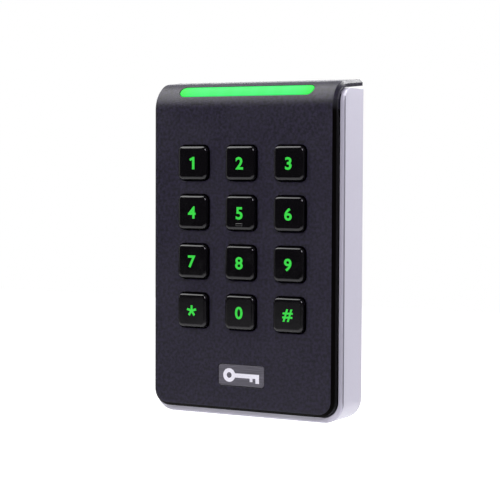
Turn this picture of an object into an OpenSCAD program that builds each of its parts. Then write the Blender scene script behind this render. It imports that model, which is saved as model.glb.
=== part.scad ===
// Wall-mounted keypad access reader.
// X is to the right, Y runs into the wall and Z is up. The wall is the plane y = 0, so the front is at -Y.

/* [Body] */
// Width of the housing
body_w = 80; // [79:0.5:100]
// Height of the housing
body_h = 121.8; // [121:0.2:150]
// Depth from the wall to the cover's front face
body_d = 19.75; // [19.5:0.25:24]
// Radius of the housing's bottom corners
corner_r = 8; // [6:0.5:9]
// Wall thickness of the housing
wall = 2; // [1.8:0.1:2.2]

/* [Housing] */
// Depth of the recess at the back that takes the mounting plate
recess_d = 4.2; // [4:0.1:4.6]
// Thickness of the housing's floor
floor_t = 1.8; // [1.6:0.1:2]
// Radius of the side walls' top front corner
nose_r = 5.4; // [4:0.1:6]
// Fine step along the rim's outer edge
rim_step = 0.4; // [0.2:0.1:0.6]

/* [Cover] */
// Thickness of the cover's shell
cover_t = 2.4; // [2:0.1:2.8]
// How far the housing stands out past the cover at each side
side_inset = 1.85; // [1.5:0.05:2.2]
// How far the housing stands out past the cover at the bottom
foot_inset = 2.45; // [2:0.05:2.8]
// Depth of the cover's edge, bevel included
edge_t = 3.25; // [3:0.05:3.6]
// Bevel round the cover's front edge
edge_bevel = 1.1; // [0.6:0.1:1.4]
// Gap between the cover's edge and the housing's rim
rim_gap = 1.1; // [0.6:0.1:1.6]
// Outer radius of the rolled top
bend_r = 10; // [9:0.25:11]
// Slope of the hood towards the wall, in degrees
hood_rise = 5; // [2:0.5:7]
// Height of the hood's back edge above the housing
hood_over = 3.55; // [3.2:0.05:4.5]
// How much wider the hood gets at each side towards the wall
hood_flare = 1.45; // [0:0.05:1.8]
// Thickness of the skirt inside the housing
skirt_t = 1.4; // [1.2:0.1:1.6]
// Depth of the skirt below the cover's edge
skirt_d = 2.5; // [2:0.1:3]
// Thickness of the seal under the skirt
seal_t = 0.8; // [0.5:0.1:1]

/* [Keys] */
// Width of a key cap
key_w = 12.4; // [11:0.1:13]
// Height of a key cap
key_h = 12.6; // [11:0.1:13]
// Corner radius of a key cap
key_r = 2; // [1.5:0.1:3]
// Bevel round a key cap's front
key_bevel = 1; // [0.5:0.1:1.2]
// How far a key cap stands out of the face
key_proud = 1.8; // [1.2:0.1:2.4]
// Gap round a key cap in its aperture
key_gap = 0.42; // [0.3:0.02:0.6]
// How far a key travels
key_travel = 0.9; // [0.5:0.1:0.9]
// Distance between key columns
pitch_x = 20.3; // [17.5:0.1:20.5]
// Distance between key rows
pitch_z = 18.4; // [17.5:0.1:18.6]
// Height of the keypad's middle above the housing's middle
keypad_z = 6; // [4:0.25:6]
// How far a key's retaining flange reaches past its aperture
flange_grip = 0.6; // [0.4:0.1:0.9]
// Thickness of a key's retaining flange
flange_t = 1; // [0.8:0.1:1.2]
// Radius of a key's stem
stem_r = 2.3; // [2:0.1:2.6]

/* [Status bar] */
// Length of the status bar
bar_w = 56.4; // [40:0.2:60]
// Width of the status bar across the rolled top
bar_chord = 5.2; // [4:0.1:5.6]
// Direction of the status bar from the front, in degrees
bar_tilt = 44; // [42:0.5:46]
// Corner radius of the status bar
bar_r = 2.4; // [1:0.1:2.6]
// Gap round the status bar
bar_fit = 0.1; // [0.05:0.01:0.2]

/* [Badge] */
// Width of the badge plate
badge_w = 19.3; // [14:0.1:24]
// Height of the badge plate
badge_h = 7.9; // [6:0.1:10]
// Corner radius of the badge plate
badge_r = 1.2; // [0.8:0.1:2]
// Thickness of the badge plate
badge_t = 0.9; // [0.6:0.1:1.2]
// Height of the badge's middle, measured from the housing's middle
badge_z = -45.2; // [-46:0.1:-42]
// Gap round the badge plate in its recess
badge_gap = 0.2; // [0.1:0.05:0.3]

/* [Mounting plate] */
// Thickness of the mounting plate
plate_t = 1.6; // [1.2:0.1:1.6]
// Gap between the mounting plate and the housing's wall
plate_gap = 1; // [0.8:0.1:1.4]
// Vertical distance between the wall screw slots
screw_span_z = 83.3; // [83.3]
// Horizontal distance between the wall screw slots
screw_span_x = 60; // [60]
// Half-width of the wall screw slots
slot_r = 2.1; // [1.8:0.1:2.4]
// End-to-end length of the wall screw slots
slot_l = 8; // [6:0.5:9]
// Width of the cable window in the mounting plate
window_w = 46; // [44.5:0.5:50]
// Height of the cable window in the mounting plate
window_h = 28; // [27:0.5:29]
// Height of the cable window's middle, measured from the housing's middle
window_z = -20; // [-21:0.5:-19]
// Radius of the security screw's shank
lock_r = 1.45; // [1.4:0.05:1.5]

/* [Electronics] */
// Thickness of the circuit boards
board_t = 1.6; // [1.2:0.1:1.6]
// Height of the main board's posts above the floor
post_h = 2.8; // [2.8:0.1:3]
// Number of ways in the cable terminal
ways = 10; // [6:1:10]
// Pitch of the cable terminal
way_pitch = 3.81; // [3.5, 3.81]
// Width of the antenna frame's bars
antenna_bar = 4; // [3:0.25:4]

/* [Hidden] */
$fn = 64;
eps = 0.01;
slip = 0.3;
touch = 0.1;

// Depths along Y
face_y = -body_d;
shell_y = face_y + cover_t;
edge_y = face_y + edge_t;
rim_y = edge_y + rim_gap;
skirt_y = edge_y + skirt_d;
ledge_y = skirt_y + seal_t;
floor_back = -recess_d;
floor_front = floor_back - floor_t;
board_back = floor_front - post_h;
board_front = board_back - board_t;

// Outline of the housing and the cover
top_z = body_h / 2;
foot_z = -body_h / 2;
inner_w = body_w - 2 * wall;
inner_r = corner_r - wall;
cover_half = body_w / 2 - side_inset;
cover_foot = foot_z + foot_inset;
cover_r = corner_r - side_inset;
rim_bar = 1.8;

// Rolled top: the bend's axis runs along X
bend_y = face_y + bend_r;
hood_l = (-bend_y + bend_r * sin(hood_rise)) / cos(hood_rise);
bend_z = top_z + hood_over - bend_r * cos(hood_rise) - hood_l * sin(hood_rise);
flare_turn = atan(hood_flare / hood_l);

// Cover screws, in the corners
boss_r = 3.3;
boss_x = cover_half - 5;
boss_z = body_h / 2 - 9.4;
boss_y = face_y + 8.2;
insert_r = 2.1;
insert_l = 4.6;
screw_r = 1.2;
screw_hole_r = 1.5;
head_r = 2.4;
head_t = 1.2;

// Keys
aperture_w = key_w + 2 * key_gap;
aperture_h = key_h + 2 * key_gap;
flange_w = aperture_w + 2 * flange_grip;
flange_h = aperture_h + 2 * flange_grip;
key_front = face_y - key_proud;
flange_front = shell_y + touch;
flange_back = flange_front + flange_t;
cap_wall = 1.2;
cap_skin = 1.3;
pip_w = 3.2;
pip_h = 1.1;
pip_t = 0.3;
pip_drop = 4.3;

// Keypad mat
mat_t = 1.2;
mat_front = board_front - mat_t;
mat_w = 2 * pitch_x + flange_w + 2;
mat_h = 3 * pitch_z + flange_h + 2;
dome_r = 5.6;
dome_h = 2;
web_t = 0.6;
pad_t = 0.2;
pill_r = 2.2;
mat_pad_r = 3.3;
stem_end = mat_front - dome_h - 0.8;
cavity_front = mat_front - dome_h + web_t;
pill_back = board_front - pad_t - key_travel - 0.05;
led_side = 1.4;
led_t = 0.7;
led_off = 3.4;

// Antenna round the keypad
antenna_w = mat_w + 2 * antenna_bar + 2;
antenna_h = mat_h + 2 * antenna_bar + 2;
ferrite_t = 0.5;
antenna_t = 3;
coil_w = 2;
coil_t = 1.6;

// Main board
board_w = antenna_w + 1;
board_foot = foot_z + 13.9;
board_top = keypad_z + antenna_h / 2 + 0.6;
tongue_w = 52;
post_r = 2.6;
post_bore = 0.9;
post_low = [board_w / 2 - 5, board_foot + 4];
post_high = [tongue_w / 2 - 3, board_top + 2.9];
post_head_r = head_r - 0.4;
led_board_z = max(bend_z - 0.7, post_high[1] + post_head_r + touch);
led_board_t = 1;
led_board_w = bar_w - 2;
tongue_top = led_board_z + led_board_t + 1;

// Status bar
guide_front = shell_y + 1.75;
guide_back = guide_front + 3.2;
guide_foot = led_board_z + led_board_t + led_t;
guide_w = bar_w - 1;

// Mounting plate
plate_w = inner_w - 2 * plate_gap;
plate_r = inner_r - plate_gap;
hook_x = 13;
hook_w = 8;
hook_t = 1.2;
hook_z = top_z - 12;
hook_lip = 3;
hook_front = floor_front - 0.2 - hook_t;
seal_d = 3.2;

// Security screw and its pocket
lock_y = -5;
pocket_w = 15;
pocket_h = 8.3;
pocket_y = -9.4;
pocket_wall = 1.4;
tab_w = 9;
tab_z = foot_z + wall + 3.4;
nut_r = 2.7;
nut_t = 2;
lock_head_r = 2.7;
lock_head_t = 1;

// Cable window and terminal
housing_window_w = window_w - 2;
housing_window_h = window_h - 2;
grommet_t = 1.5;
grommet_lip = 0.8;
block_w = ways * way_pitch + 0.9;
block_h = 7.5;
block_z = window_z - housing_window_h / 2 + grommet_t + block_h / 2 + 0.4;
block_back = -1.9;
wire_hole = 2.4;

// Tamper sensor: its window's radius and its place in X and Z
tamper_r = 2;
tamper_at = [-14, 26];

// Profiles and placing

// Extrudes a shape drawn in X and Z from y0 to y1
module along_y(y0, y1) {
  translate([0, y1, 0]) rotate([90, 0, 0]) linear_extrude(y1 - y0) children();
}

// Extrudes a shape drawn in Y and Z, centred on x = 0
module along_x(width) {
  translate([-width / 2, 0, 0]) rotate([90, 0, 90]) linear_extrude(width) children();
}

// A round bar along Y at x, z
module rod(r, y0, y1, x, z) {
  translate([x, y1, z]) rotate([90, 0, 0]) cylinder(h = y1 - y0, r = r);
}

module rounded(w, h, r) {
  square([w - 2 * r, h], center = true);
  square([w, h - 2 * r], center = true);
  for (x = [-1, 1], z = [-1, 1]) {
    translate([x * (w / 2 - r), z * (h / 2 - r)]) circle(r);
  }
}

// A rectangle from z0 to z1 with only its bottom corners rounded
module tub(w, z0, z1, r) {
  translate([0, (z0 + z1) / 2]) rounded(w, z1 - z0, r);
  translate([-w / 2, (z0 + z1) / 2]) square([w, (z1 - z0) / 2]);
}

module slot_z(r, l) {
  square([2 * r, l - 2 * r], center = true);
  for (s = [-1, 1]) translate([0, s * (l / 2 - r)]) circle(r);
}

module at_key(column, row) {
  translate([(column - 1) * pitch_x, 0, keypad_z - (row - 1.5) * pitch_z]) children();
}

module at_keys() {
  for (column = [0:2], row = [0:3]) at_key(column, row) children();
}

module at_corners(x, z) {
  for (sx = [-1, 1], sz = [-1, 1]) translate([sx * x, 0, sz * z]) children();
}

module at_posts() {
  for (s = [-1, 1]) {
    translate([s * post_low[0], 0, post_low[1]]) children();
    translate([s * post_high[0], 0, post_high[1]]) children();
  }
}

// A box with its middle at x, z and its depth from y0 to y1
module block(w, h, y0, y1, x, z) {
  translate([x - w / 2, y0, z - h / 2]) cube([w, y1 - y0, h]);
}

// Front cover

// The flat front, bevelled at the sides and the bottom
module cover_slab() {
  depth = -face_y;
  straight_foot = cover_foot + cover_r;
  translate([0, 0, straight_foot]) linear_extrude(bend_z - straight_foot) polygon([
    [-cover_half + edge_bevel, face_y], [cover_half - edge_bevel, face_y],
    [cover_half, face_y + edge_bevel], [cover_half, 0], [-cover_half, 0],
    [-cover_half, face_y + edge_bevel]
  ]);
  along_x(2 * (cover_half - cover_r)) polygon([
    [face_y, cover_foot + edge_bevel], [face_y, straight_foot], [0, straight_foot],
    [0, cover_foot], [face_y + edge_bevel, cover_foot]
  ]);
  for (s = [-1, 1]) {
    translate([s * (cover_half - cover_r), face_y, straight_foot]) rotate([-90, 0, 0]) {
      cylinder(h = edge_bevel, r1 = cover_r - edge_bevel, r2 = cover_r);
      translate([0, 0, edge_bevel]) cylinder(h = depth - edge_bevel, r = cover_r);
    }
  }
}

// The rolled top, bevelled at both ends
module cover_roll() {
  straight = 2 * (cover_half - edge_bevel);
  translate([-straight / 2, bend_y, bend_z]) rotate([0, 90, 0]) cylinder(h = straight, r = bend_r);
  for (s = [0, 1]) mirror([s, 0, 0]) {
    translate([straight / 2, bend_y, bend_z]) rotate([0, 90, 0])
      cylinder(h = edge_bevel, r1 = bend_r, r2 = bend_r - edge_bevel);
  }
}

// The hood in its own slope: X, the way to the wall, and the distance from the bend's axis
module in_hood() {
  translate([0, bend_y, bend_z]) rotate([hood_rise, 0, 0]) children();
}

// The hood starts just inside the roll, so that the two cross and don't only touch
module cover_hood() {
  back_l = hood_l + 1;
  front_half = cover_half - eps;
  back_half = front_half + hood_flare * back_l / hood_l;
  in_hood() difference() {
    linear_extrude(bend_r - eps) polygon([
      [-front_half, 0], [front_half, 0],
      [back_half, back_l], [-back_half, back_l]
    ]);
    for (s = [0, 1]) mirror([s, 0, 0]) {
      translate([front_half - edge_bevel, 0, bend_r - eps]) rotate([0, 0, -flare_turn]) rotate([0, 45, 0])
        translate([-edge_bevel, -1, 0]) cube([4 * edge_bevel, hood_l + 3, 2 * edge_bevel]);
    }
  }
}

// The space under the roll and the hood, out to a radius about the bend's axis
module under_hood(r) {
  translate([bend_y, bend_z]) circle(r);
  translate([bend_y, bend_z]) rotate(hood_rise) translate([0, -r]) square([hood_l + 1, 2 * r]);
}

// Everything inside the shell. The edge is deeper than the shell at the sides and the bottom
module cover_inside() {
  in_r = bend_r - cover_t;
  pocket_half = cover_half - rim_bar;
  pocket_foot = cover_foot + rim_bar;
  along_y(shell_y, 1) tub(2 * pocket_half, pocket_foot, bend_z - in_r, cover_r - rim_bar);
  along_x(2 * pocket_half) translate([shell_y, pocket_foot + cover_r])
    square([1 - shell_y, bend_z - pocket_foot - cover_r]);
  along_x(body_w + 2) {
    translate([edge_y, foot_z - 1]) square([1 - edge_y, bend_z - foot_z + 1]);
    under_hood(in_r);
  }
}

module bar_outline(gap) {
  rounded(bar_w - 2 * gap, bar_chord - 2 * gap, bar_r - gap);
}

// Places a shape drawn in X and height on the rolled top, square to its surface
module on_bar() {
  translate([0, bend_y, bend_z]) rotate([90 - bar_tilt, 0, 0]) children();
}

module front_cover() {
  skirt_w = inner_w - 2 * slip;
  skirt_foot = foot_z + wall + slip;
  color([0.13, 0.12, 0.15]) difference() {
    union() {
      difference() {
        union() {
          cover_slab();
          cover_roll();
          cover_hood();
        }
        cover_inside();
        block(body_w + 4, 2 * body_h, 0, 5, 0, 0);
        on_bar() linear_extrude(bend_r + 1) bar_outline(0);
      }
      along_y(shell_y - eps, skirt_y) difference() {
        tub(skirt_w, skirt_foot, bend_z, inner_r - slip);
        tub(skirt_w - 2 * skirt_t, skirt_foot + skirt_t, bend_z + 1, inner_r - slip - skirt_t);
      }
      at_corners(boss_x, boss_z) rod(boss_r, shell_y - eps, boss_y, 0, 0);
    }
    at_keys() along_y(face_y - 1, shell_y + 1) rounded(aperture_w, aperture_h, key_r + key_gap);
    translate([0, 0, badge_z]) along_y(face_y - 1, face_y + badge_t + touch)
      rounded(badge_w + 2 * badge_gap, badge_h + 2 * badge_gap, badge_r + badge_gap);
    at_corners(boss_x, boss_z) rod(insert_r, boss_y - insert_l, boss_y + 1, 0, 0);
  }
}

module light_bar() {
  color([0.4, 1, 0.6]) intersection() {
    on_bar() linear_extrude(bend_r + 1) bar_outline(bar_fit);
    translate([-body_w / 2, bend_y, bend_z]) rotate([0, 90, 0]) difference() {
      cylinder(h = body_w, r = bend_r - bar_fit);
      translate([0, 0, -1]) cylinder(h = body_w + 2, r = bend_r - cover_t);
    }
  }
}

module badge() {
  color([0.32, 0.31, 0.34]) translate([0, 0, badge_z])
    along_y(face_y + touch, face_y + badge_t + touch) rounded(badge_w, badge_h, badge_r);
}

// Keys

// A cap with a bevelled front, a hollow for the light, a stem and a retaining flange
module keycap(pip = false) {
  side_y = key_front + key_bevel;
  color([0.05, 0.04, 0.06]) {
    difference() {
      union() {
        key_front_bevel();
        along_y(side_y, flange_front + eps) rounded(key_w, key_h, key_r);
        along_y(flange_front, flange_back) rounded(flange_w, flange_h, key_r + key_gap + flange_grip);
      }
      along_y(key_front + cap_skin, flange_back + 1)
        rounded(key_w - 2 * cap_wall, key_h - 2 * cap_wall, key_r - cap_wall / 2);
    }
    rod(stem_r, key_front + cap_skin - eps, stem_end, 0, 0);
    if (pip) {
      translate([0, 0, -pip_drop]) along_y(key_front - pip_t, key_front + eps) rotate(90)
        slot_z(pip_h / 2, pip_w);
    }
  }
}

// The bevelled front: two crossed bars and a cone at each corner
module key_front_bevel() {
  half_w = key_w / 2;
  half_h = key_h / 2;
  side_y = key_front + key_bevel;
  translate([0, 0, key_r - half_h]) linear_extrude(key_h - 2 * key_r) polygon([
    [key_bevel - half_w, key_front], [half_w - key_bevel, key_front],
    [half_w, side_y], [-half_w, side_y]
  ]);
  along_x(key_w - 2 * key_r) polygon([
    [key_front, key_bevel - half_h], [key_front, half_h - key_bevel],
    [side_y, half_h], [side_y, -half_h]
  ]);
  at_corners(half_w - key_r, half_h - key_r) translate([0, key_front, 0]) rotate([-90, 0, 0])
    cylinder(h = key_bevel, r1 = key_r - key_bevel, r2 = key_r);
}

module keypad_mat() {
  color([0.75, 0.75, 0.72]) difference() {
    union() {
      translate([0, 0, keypad_z]) along_y(mat_front, board_front) rounded(mat_w, mat_h, 2);
      at_keys() {
        translate([0, mat_front, 0]) rotate([90, 0, 0])
          cylinder(h = dome_h, r1 = dome_r, r2 = dome_r - 1.4);
        rod(mat_pad_r, stem_end, mat_front - dome_h + eps, 0, 0);
      }
    }
    at_keys() {
      rod(dome_r - web_t, mat_front, board_front + 1, 0, 0);
      translate([0, mat_front + eps, 0]) rotate([90, 0, 0])
        cylinder(h = mat_front - cavity_front + eps, r1 = dome_r - web_t, r2 = dome_r - web_t - 1.1);
    }
  }
}

module carbon_pills() {
  color([0.15, 0.15, 0.15]) at_keys() rod(pill_r, cavity_front, pill_back, 0, 0);
}

module contact_pads() {
  color([0.85, 0.65, 0.25]) at_keys() rod(pill_r, board_front - pad_t, board_front, 0, 0);
}

module key_leds() {
  color([0.9, 0.95, 0.85]) at_keys()
    block(led_side, led_side, board_front - led_t, board_front, 0, led_off);
}

// Status bar's lamps and guide

module light_guide() {
  color([0.85, 0.95, 0.95, 0.6]) along_x(guide_w) intersection() {
    translate([guide_front, guide_foot]) square([guide_back - guide_front, bend_r]);
    translate([bend_y, bend_z]) circle(bend_r - cover_t - touch);
  }
}

module bar_leds() {
  lamps = 8;
  spacing = guide_w / lamps;
  color([0.95, 0.95, 0.8]) for (i = [0:lamps - 1]) {
    translate([(i - (lamps - 1) / 2) * spacing, (guide_front + guide_back) / 2, led_board_z + led_board_t])
      translate([-led_side, -led_side / 2, 0]) cube([2 * led_side, led_side, led_t]);
  }
}

module led_board() {
  color([0.1, 0.4, 0.2]) translate([-led_board_w / 2, guide_front, led_board_z])
    cube([led_board_w, board_front - guide_front, led_board_t]);
}

// Housing

// The side profile, kept clear of the hood above it
module housing_side() {
  intersection() {
    union() {
      translate([rim_y, foot_z]) square([-rim_y, body_h - nose_r]);
      translate([rim_y + nose_r, foot_z]) square([-rim_y - nose_r, body_h]);
      translate([rim_y + nose_r, top_z - nose_r]) circle(nose_r);
    }
    union() {
      translate([2 * face_y, foot_z - 1]) square([1 - 2 * face_y, bend_z - foot_z + 1]);
      under_hood(bend_r - cover_t - touch);
    }
  }
}

// The outer block: a side profile and a front outline, with a fine step along the rim
module housing_block() {
  intersection() {
    along_x(body_w) housing_side();
    union() {
      along_y(rim_y + rim_step, 0) tub(body_w, foot_z, top_z, corner_r);
      along_y(rim_y - 1, rim_y + rim_step + eps)
        tub(body_w - 2 * rim_step, foot_z + rim_step, top_z, corner_r - rim_step);
    }
  }
}

module housing() {
  ledge = 1.5;
  pocket_mid = foot_z + wall + pocket_h / 2;
  notch_w = guide_w + 2 * slip;
  color([0.78, 0.78, 0.81]) difference() {
    union() {
      difference() {
        housing_block();
        along_y(rim_y - 2, ledge_y) tub(inner_w, foot_z + wall, top_z - wall, inner_r);
        along_y(skirt_y, floor_front)
          tub(inner_w - 2 * ledge, foot_z + wall + ledge, top_z - wall, inner_r - ledge);
        along_y(floor_back, 1) tub(inner_w, foot_z + wall, top_z - wall, inner_r);
      }
      at_corners(boss_x, boss_z) rod(boss_r, boss_y + touch, floor_front + eps, 0, 0);
      at_posts() rod(post_r, board_back, floor_front + eps, 0, 0);
      block(pocket_w + 2 * pocket_wall, pocket_h + pocket_wall, pocket_y - pocket_wall, floor_back,
        0, pocket_mid + pocket_wall / 2);
    }
    // Cover screws: a hole and a seat for the head
    at_corners(boss_x, boss_z) {
      rod(screw_hole_r, boss_y - 1, 1, 0, 0);
      rod(head_r + slip, floor_back - head_t, 1, 0, 0);
    }
    at_posts() rod(post_bore, board_back - 1, floor_front + 0.6, 0, 0);
    translate([0, 0, window_z]) along_y(floor_front - 1, 1)
      rounded(housing_window_w, housing_window_h, 2);
    // Slots for the mounting plate's hooks
    for (s = [-1, 1]) {
      block(hook_w + 2 * slip, hook_lip + hook_t + 2 * slip, floor_front - 1, floor_back + 1,
        s * hook_x, hook_z - (hook_lip + 2 * slip) / 2 + hook_t / 2);
    }
    // Pocket and hole for the security screw
    block(pocket_w, pocket_h, pocket_y, 1, 0, pocket_mid);
    translate([0, lock_y, foot_z - 1]) cylinder(h = wall + 2, r = lock_r + slip);
    translate([0, lock_y, foot_z - 1]) cylinder(h = 1 + lock_head_t, r = lock_head_r + touch);
    // Window for the tamper sensor
    rod(tamper_r, floor_front - 1, floor_back + 1, tamper_at[0], tamper_at[1]);
    // Notch for the light guide
    block(notch_w, 4 * wall, rim_y - 1, guide_back + slip, 0, top_z);
  }
}

module wall_seal() {
  seal_gap = 0.2;
  color([0.2, 0.2, 0.2]) along_y(-seal_d, 0) difference() {
    tub(inner_w, foot_z + wall, top_z - wall, inner_r);
    tub(plate_w + 2 * seal_gap, foot_z + wall + plate_gap - seal_gap, top_z - wall - plate_gap + seal_gap,
      plate_r + seal_gap);
  }
}

// A gasket between the end of the cover's skirt and the housing's ledge
module cover_seal() {
  color([0.15, 0.15, 0.16]) difference() {
    along_y(skirt_y, ledge_y) difference() {
      tub(inner_w - 2 * slip, foot_z + wall + slip, bend_z, inner_r - slip);
      tub(inner_w - 2 * slip - 2 * skirt_t, foot_z + wall + slip + skirt_t, bend_z + 1,
        inner_r - slip - skirt_t);
    }
    at_corners(boss_x, boss_z) rod(boss_r + touch, skirt_y - 1, ledge_y + 1, 0, 0);
  }
}

module cover_inserts() {
  color([0.8, 0.65, 0.3]) at_corners(boss_x, boss_z) difference() {
    rod(insert_r, boss_y - insert_l, boss_y, 0, 0);
    rod(screw_r, boss_y - insert_l - 1, boss_y + 1, 0, 0);
  }
}

module cover_screws() {
  seat_y = floor_back - head_t;
  tip_y = boss_y - insert_l + 0.4;
  color([0.6, 0.6, 0.62]) at_corners(boss_x, boss_z) difference() {
    union() {
      rod(screw_r, tip_y, seat_y + eps, 0, 0);
      rod(head_r, seat_y, floor_back, 0, 0);
    }
    rod(1, floor_back - head_t / 2, floor_back + 1, 0, 0);
  }
}

// Wall fixing

module plate_outline() {
  tub(plate_w, foot_z + wall + plate_gap, top_z - wall - plate_gap, plate_r);
}

module mounting_plate() {
  pocket_front = lock_y - nut_r - 0.5;
  color([0.62, 0.63, 0.65]) difference() {
    union() {
      along_y(-plate_t, 0) plate_outline();
      for (s = [-1, 1]) {
        block(hook_w, hook_t, hook_front, -plate_t + eps, s * hook_x, hook_z);
        block(hook_w, hook_lip + hook_t, hook_front, hook_front + hook_t, s * hook_x, hook_z + hook_lip / 2);
      }
      block(tab_w, hook_t, pocket_front, -plate_t + eps, 0, tab_z);
    }
    translate([0, 0, window_z]) along_y(-plate_t - 1, 1) rounded(window_w, window_h, 3);
    for (s = [-1, 1]) {
      translate([0, 0, s * screw_span_z / 2]) along_y(-plate_t - 1, 1) slot_z(slot_r, slot_l);
      translate([s * screw_span_x / 2, 0, 0]) along_y(-plate_t - 1, 1) rotate(90) slot_z(slot_r, slot_l);
    }
    translate([0, lock_y, tab_z - hook_t]) cylinder(h = 2 * hook_t, r = lock_r + slip);
  }
}

module plate_nut() {
  color([0.7, 0.7, 0.72]) translate([0, lock_y, tab_z + hook_t / 2]) difference() {
    cylinder(h = nut_t, r = nut_r);
    translate([0, 0, -1]) cylinder(h = nut_t + 2, r = lock_r + 0.05);
  }
}

module security_screw() {
  shank_l = tab_z - foot_z + hook_t / 2 + nut_t + 0.5;
  socket_r = 1.25;
  socket_d = 0.8;
  color([0.6, 0.6, 0.62]) translate([0, lock_y, foot_z]) difference() {
    union() {
      cylinder(h = lock_head_t, r = lock_head_r);
      cylinder(h = shank_l, r = lock_r);
    }
    // Six-sided socket with a centre post
    difference() {
      translate([0, 0, -1]) cylinder(h = 1 + socket_d, r = socket_r, $fn = 6);
      translate([0, 0, -2]) cylinder(h = 4, r = 0.4);
    }
  }
}

// Boards and what they carry

module main_board() {
  color([0.1, 0.4, 0.2]) difference() {
    along_y(board_front, board_back) union() {
      translate([-board_w / 2, board_foot]) square([board_w, board_top - board_foot]);
      translate([-tongue_w / 2, board_top - 1]) square([tongue_w, tongue_top - board_top + 1]);
    }
    at_posts() rod(screw_hole_r, board_front - 1, board_back + 1, 0, 0);
  }
}

module board_screws() {
  color([0.7, 0.7, 0.72]) at_posts() {
    rod(post_bore, board_front - eps, floor_front, 0, 0);
    rod(post_head_r, board_front - head_t, board_front, 0, 0);
  }
}

module antenna_ring(grow, y0, y1) {
  translate([0, 0, keypad_z]) along_y(y0, y1) difference() {
    rounded(antenna_w - 2 * grow, antenna_h - 2 * grow, 4 - grow);
    rounded(antenna_w - 2 * antenna_bar + 2 * grow, antenna_h - 2 * antenna_bar + 2 * grow, 1 + grow);
  }
}

module ferrite_sheet() {
  color([0.25, 0.25, 0.27]) antenna_ring(0, board_front - ferrite_t, board_front);
}

module antenna_frame() {
  base_y = board_front - ferrite_t;
  color([0.85, 0.83, 0.78]) difference() {
    antenna_ring(0, base_y - antenna_t, base_y);
    antenna_ring((antenna_bar - coil_w) / 2, base_y - antenna_t - 1, base_y - antenna_t + coil_t);
  }
}

module antenna_coil() {
  coil_y = board_front - ferrite_t - antenna_t;
  color([0.75, 0.4, 0.2]) antenna_ring((antenna_bar - coil_w) / 2, coil_y, coil_y + coil_t);
}

module on_board_back(w, h, t, x, z) {
  block(w, h, board_back, board_back + t, x, z);
}

module processor_chip() {
  color([0.1, 0.1, 0.1]) on_board_back(7, 7, 1, -8, 8);
}

module radio_chip() {
  color([0.1, 0.1, 0.1]) on_board_back(5, 5, 0.9, 6, 8);
}

module interface_chips() {
  color([0.12, 0.12, 0.12]) for (s = [-1, 1]) on_board_back(6, 4, 1.5, s * 8, -2);
}

module power_inductor() {
  color([0.3, 0.3, 0.32]) on_board_back(6, 6, 2.4, 22, 0);
}

module capacitors() {
  color([0.75, 0.75, 0.78]) for (x = [-25, -18]) rod(2.5, board_back, board_back + 2.6, x, 2);
}

module sounder() {
  color([0.1, 0.1, 0.1]) difference() {
    rod(6, board_back, board_back + 2.4, 14, 24);
    rod(0.8, board_back + 1.4, board_back + 3, 14, 24);
  }
}

module tamper_sensor() {
  color([0.1, 0.1, 0.12]) on_board_back(3.4, 2.8, post_h - slip, tamper_at[0], tamper_at[1]);
}

module at_ways() {
  for (i = [0:ways - 1]) translate([(i - (ways - 1) / 2) * way_pitch, 0, block_z]) children();
}

module terminal_block() {
  color([0.15, 0.5, 0.25]) difference() {
    block(block_w, block_h, board_back, block_back, 0, block_z);
    at_ways() {
      translate([0, -4, 0]) cube([wire_hole, wire_hole, block_h + 2], center = true);
      rod(1.3, -3.2, 1, 0, -1.2);
    }
  }
}

module terminal_screws() {
  color([0.75, 0.75, 0.78]) at_ways() difference() {
    rod(1.2, -3.2, -2.2, 0, -1.2);
    translate([0, -2.2, -1.2]) cube([3, 0.8, 0.4], center = true);
  }
}

module cable_grommet() {
  color([0.12, 0.12, 0.12]) translate([0, 0, window_z]) difference() {
    union() {
      along_y(floor_front, floor_back) rounded(housing_window_w, housing_window_h, 2);
      along_y(floor_back, floor_back + grommet_lip)
        rounded(housing_window_w + 1.6, housing_window_h + 1.6, 2.8);
    }
    along_y(floor_front - 1, 1)
      rounded(housing_window_w - 2 * grommet_t, housing_window_h - 2 * grommet_t, 1);
  }
}

front_cover();
housing();
light_bar();
badge();
at_key(0, 0) keycap();  // keycap_1
at_key(1, 0) keycap();  // keycap_2
at_key(2, 0) keycap();  // keycap_3
at_key(0, 1) keycap();  // keycap_4
at_key(1, 1) keycap(pip = true);  // keycap_5
at_key(2, 1) keycap();  // keycap_6
at_key(0, 2) keycap();  // keycap_7
at_key(1, 2) keycap();  // keycap_8
at_key(2, 2) keycap();  // keycap_9
at_key(0, 3) keycap();  // keycap_star
at_key(1, 3) keycap();  // keycap_0
at_key(2, 3) keycap();  // keycap_hash
mounting_plate();
plate_nut();
security_screw();
wall_seal();
cover_seal();
cover_inserts();
cover_screws();
main_board();
board_screws();
keypad_mat();
carbon_pills();
contact_pads();
key_leds();
light_guide();
bar_leds();
led_board();
antenna_frame();
antenna_coil();
ferrite_sheet();
processor_chip();
radio_chip();
interface_chips();
power_inductor();
capacitors();
sounder();
tamper_sensor();
terminal_block();
terminal_screws();
cable_grommet();
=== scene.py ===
import math

import bmesh
import bpy
import numpy as np
from bpy.props import FloatProperty, FloatVectorProperty, PointerProperty
from mathutils import Matrix, Vector


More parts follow.
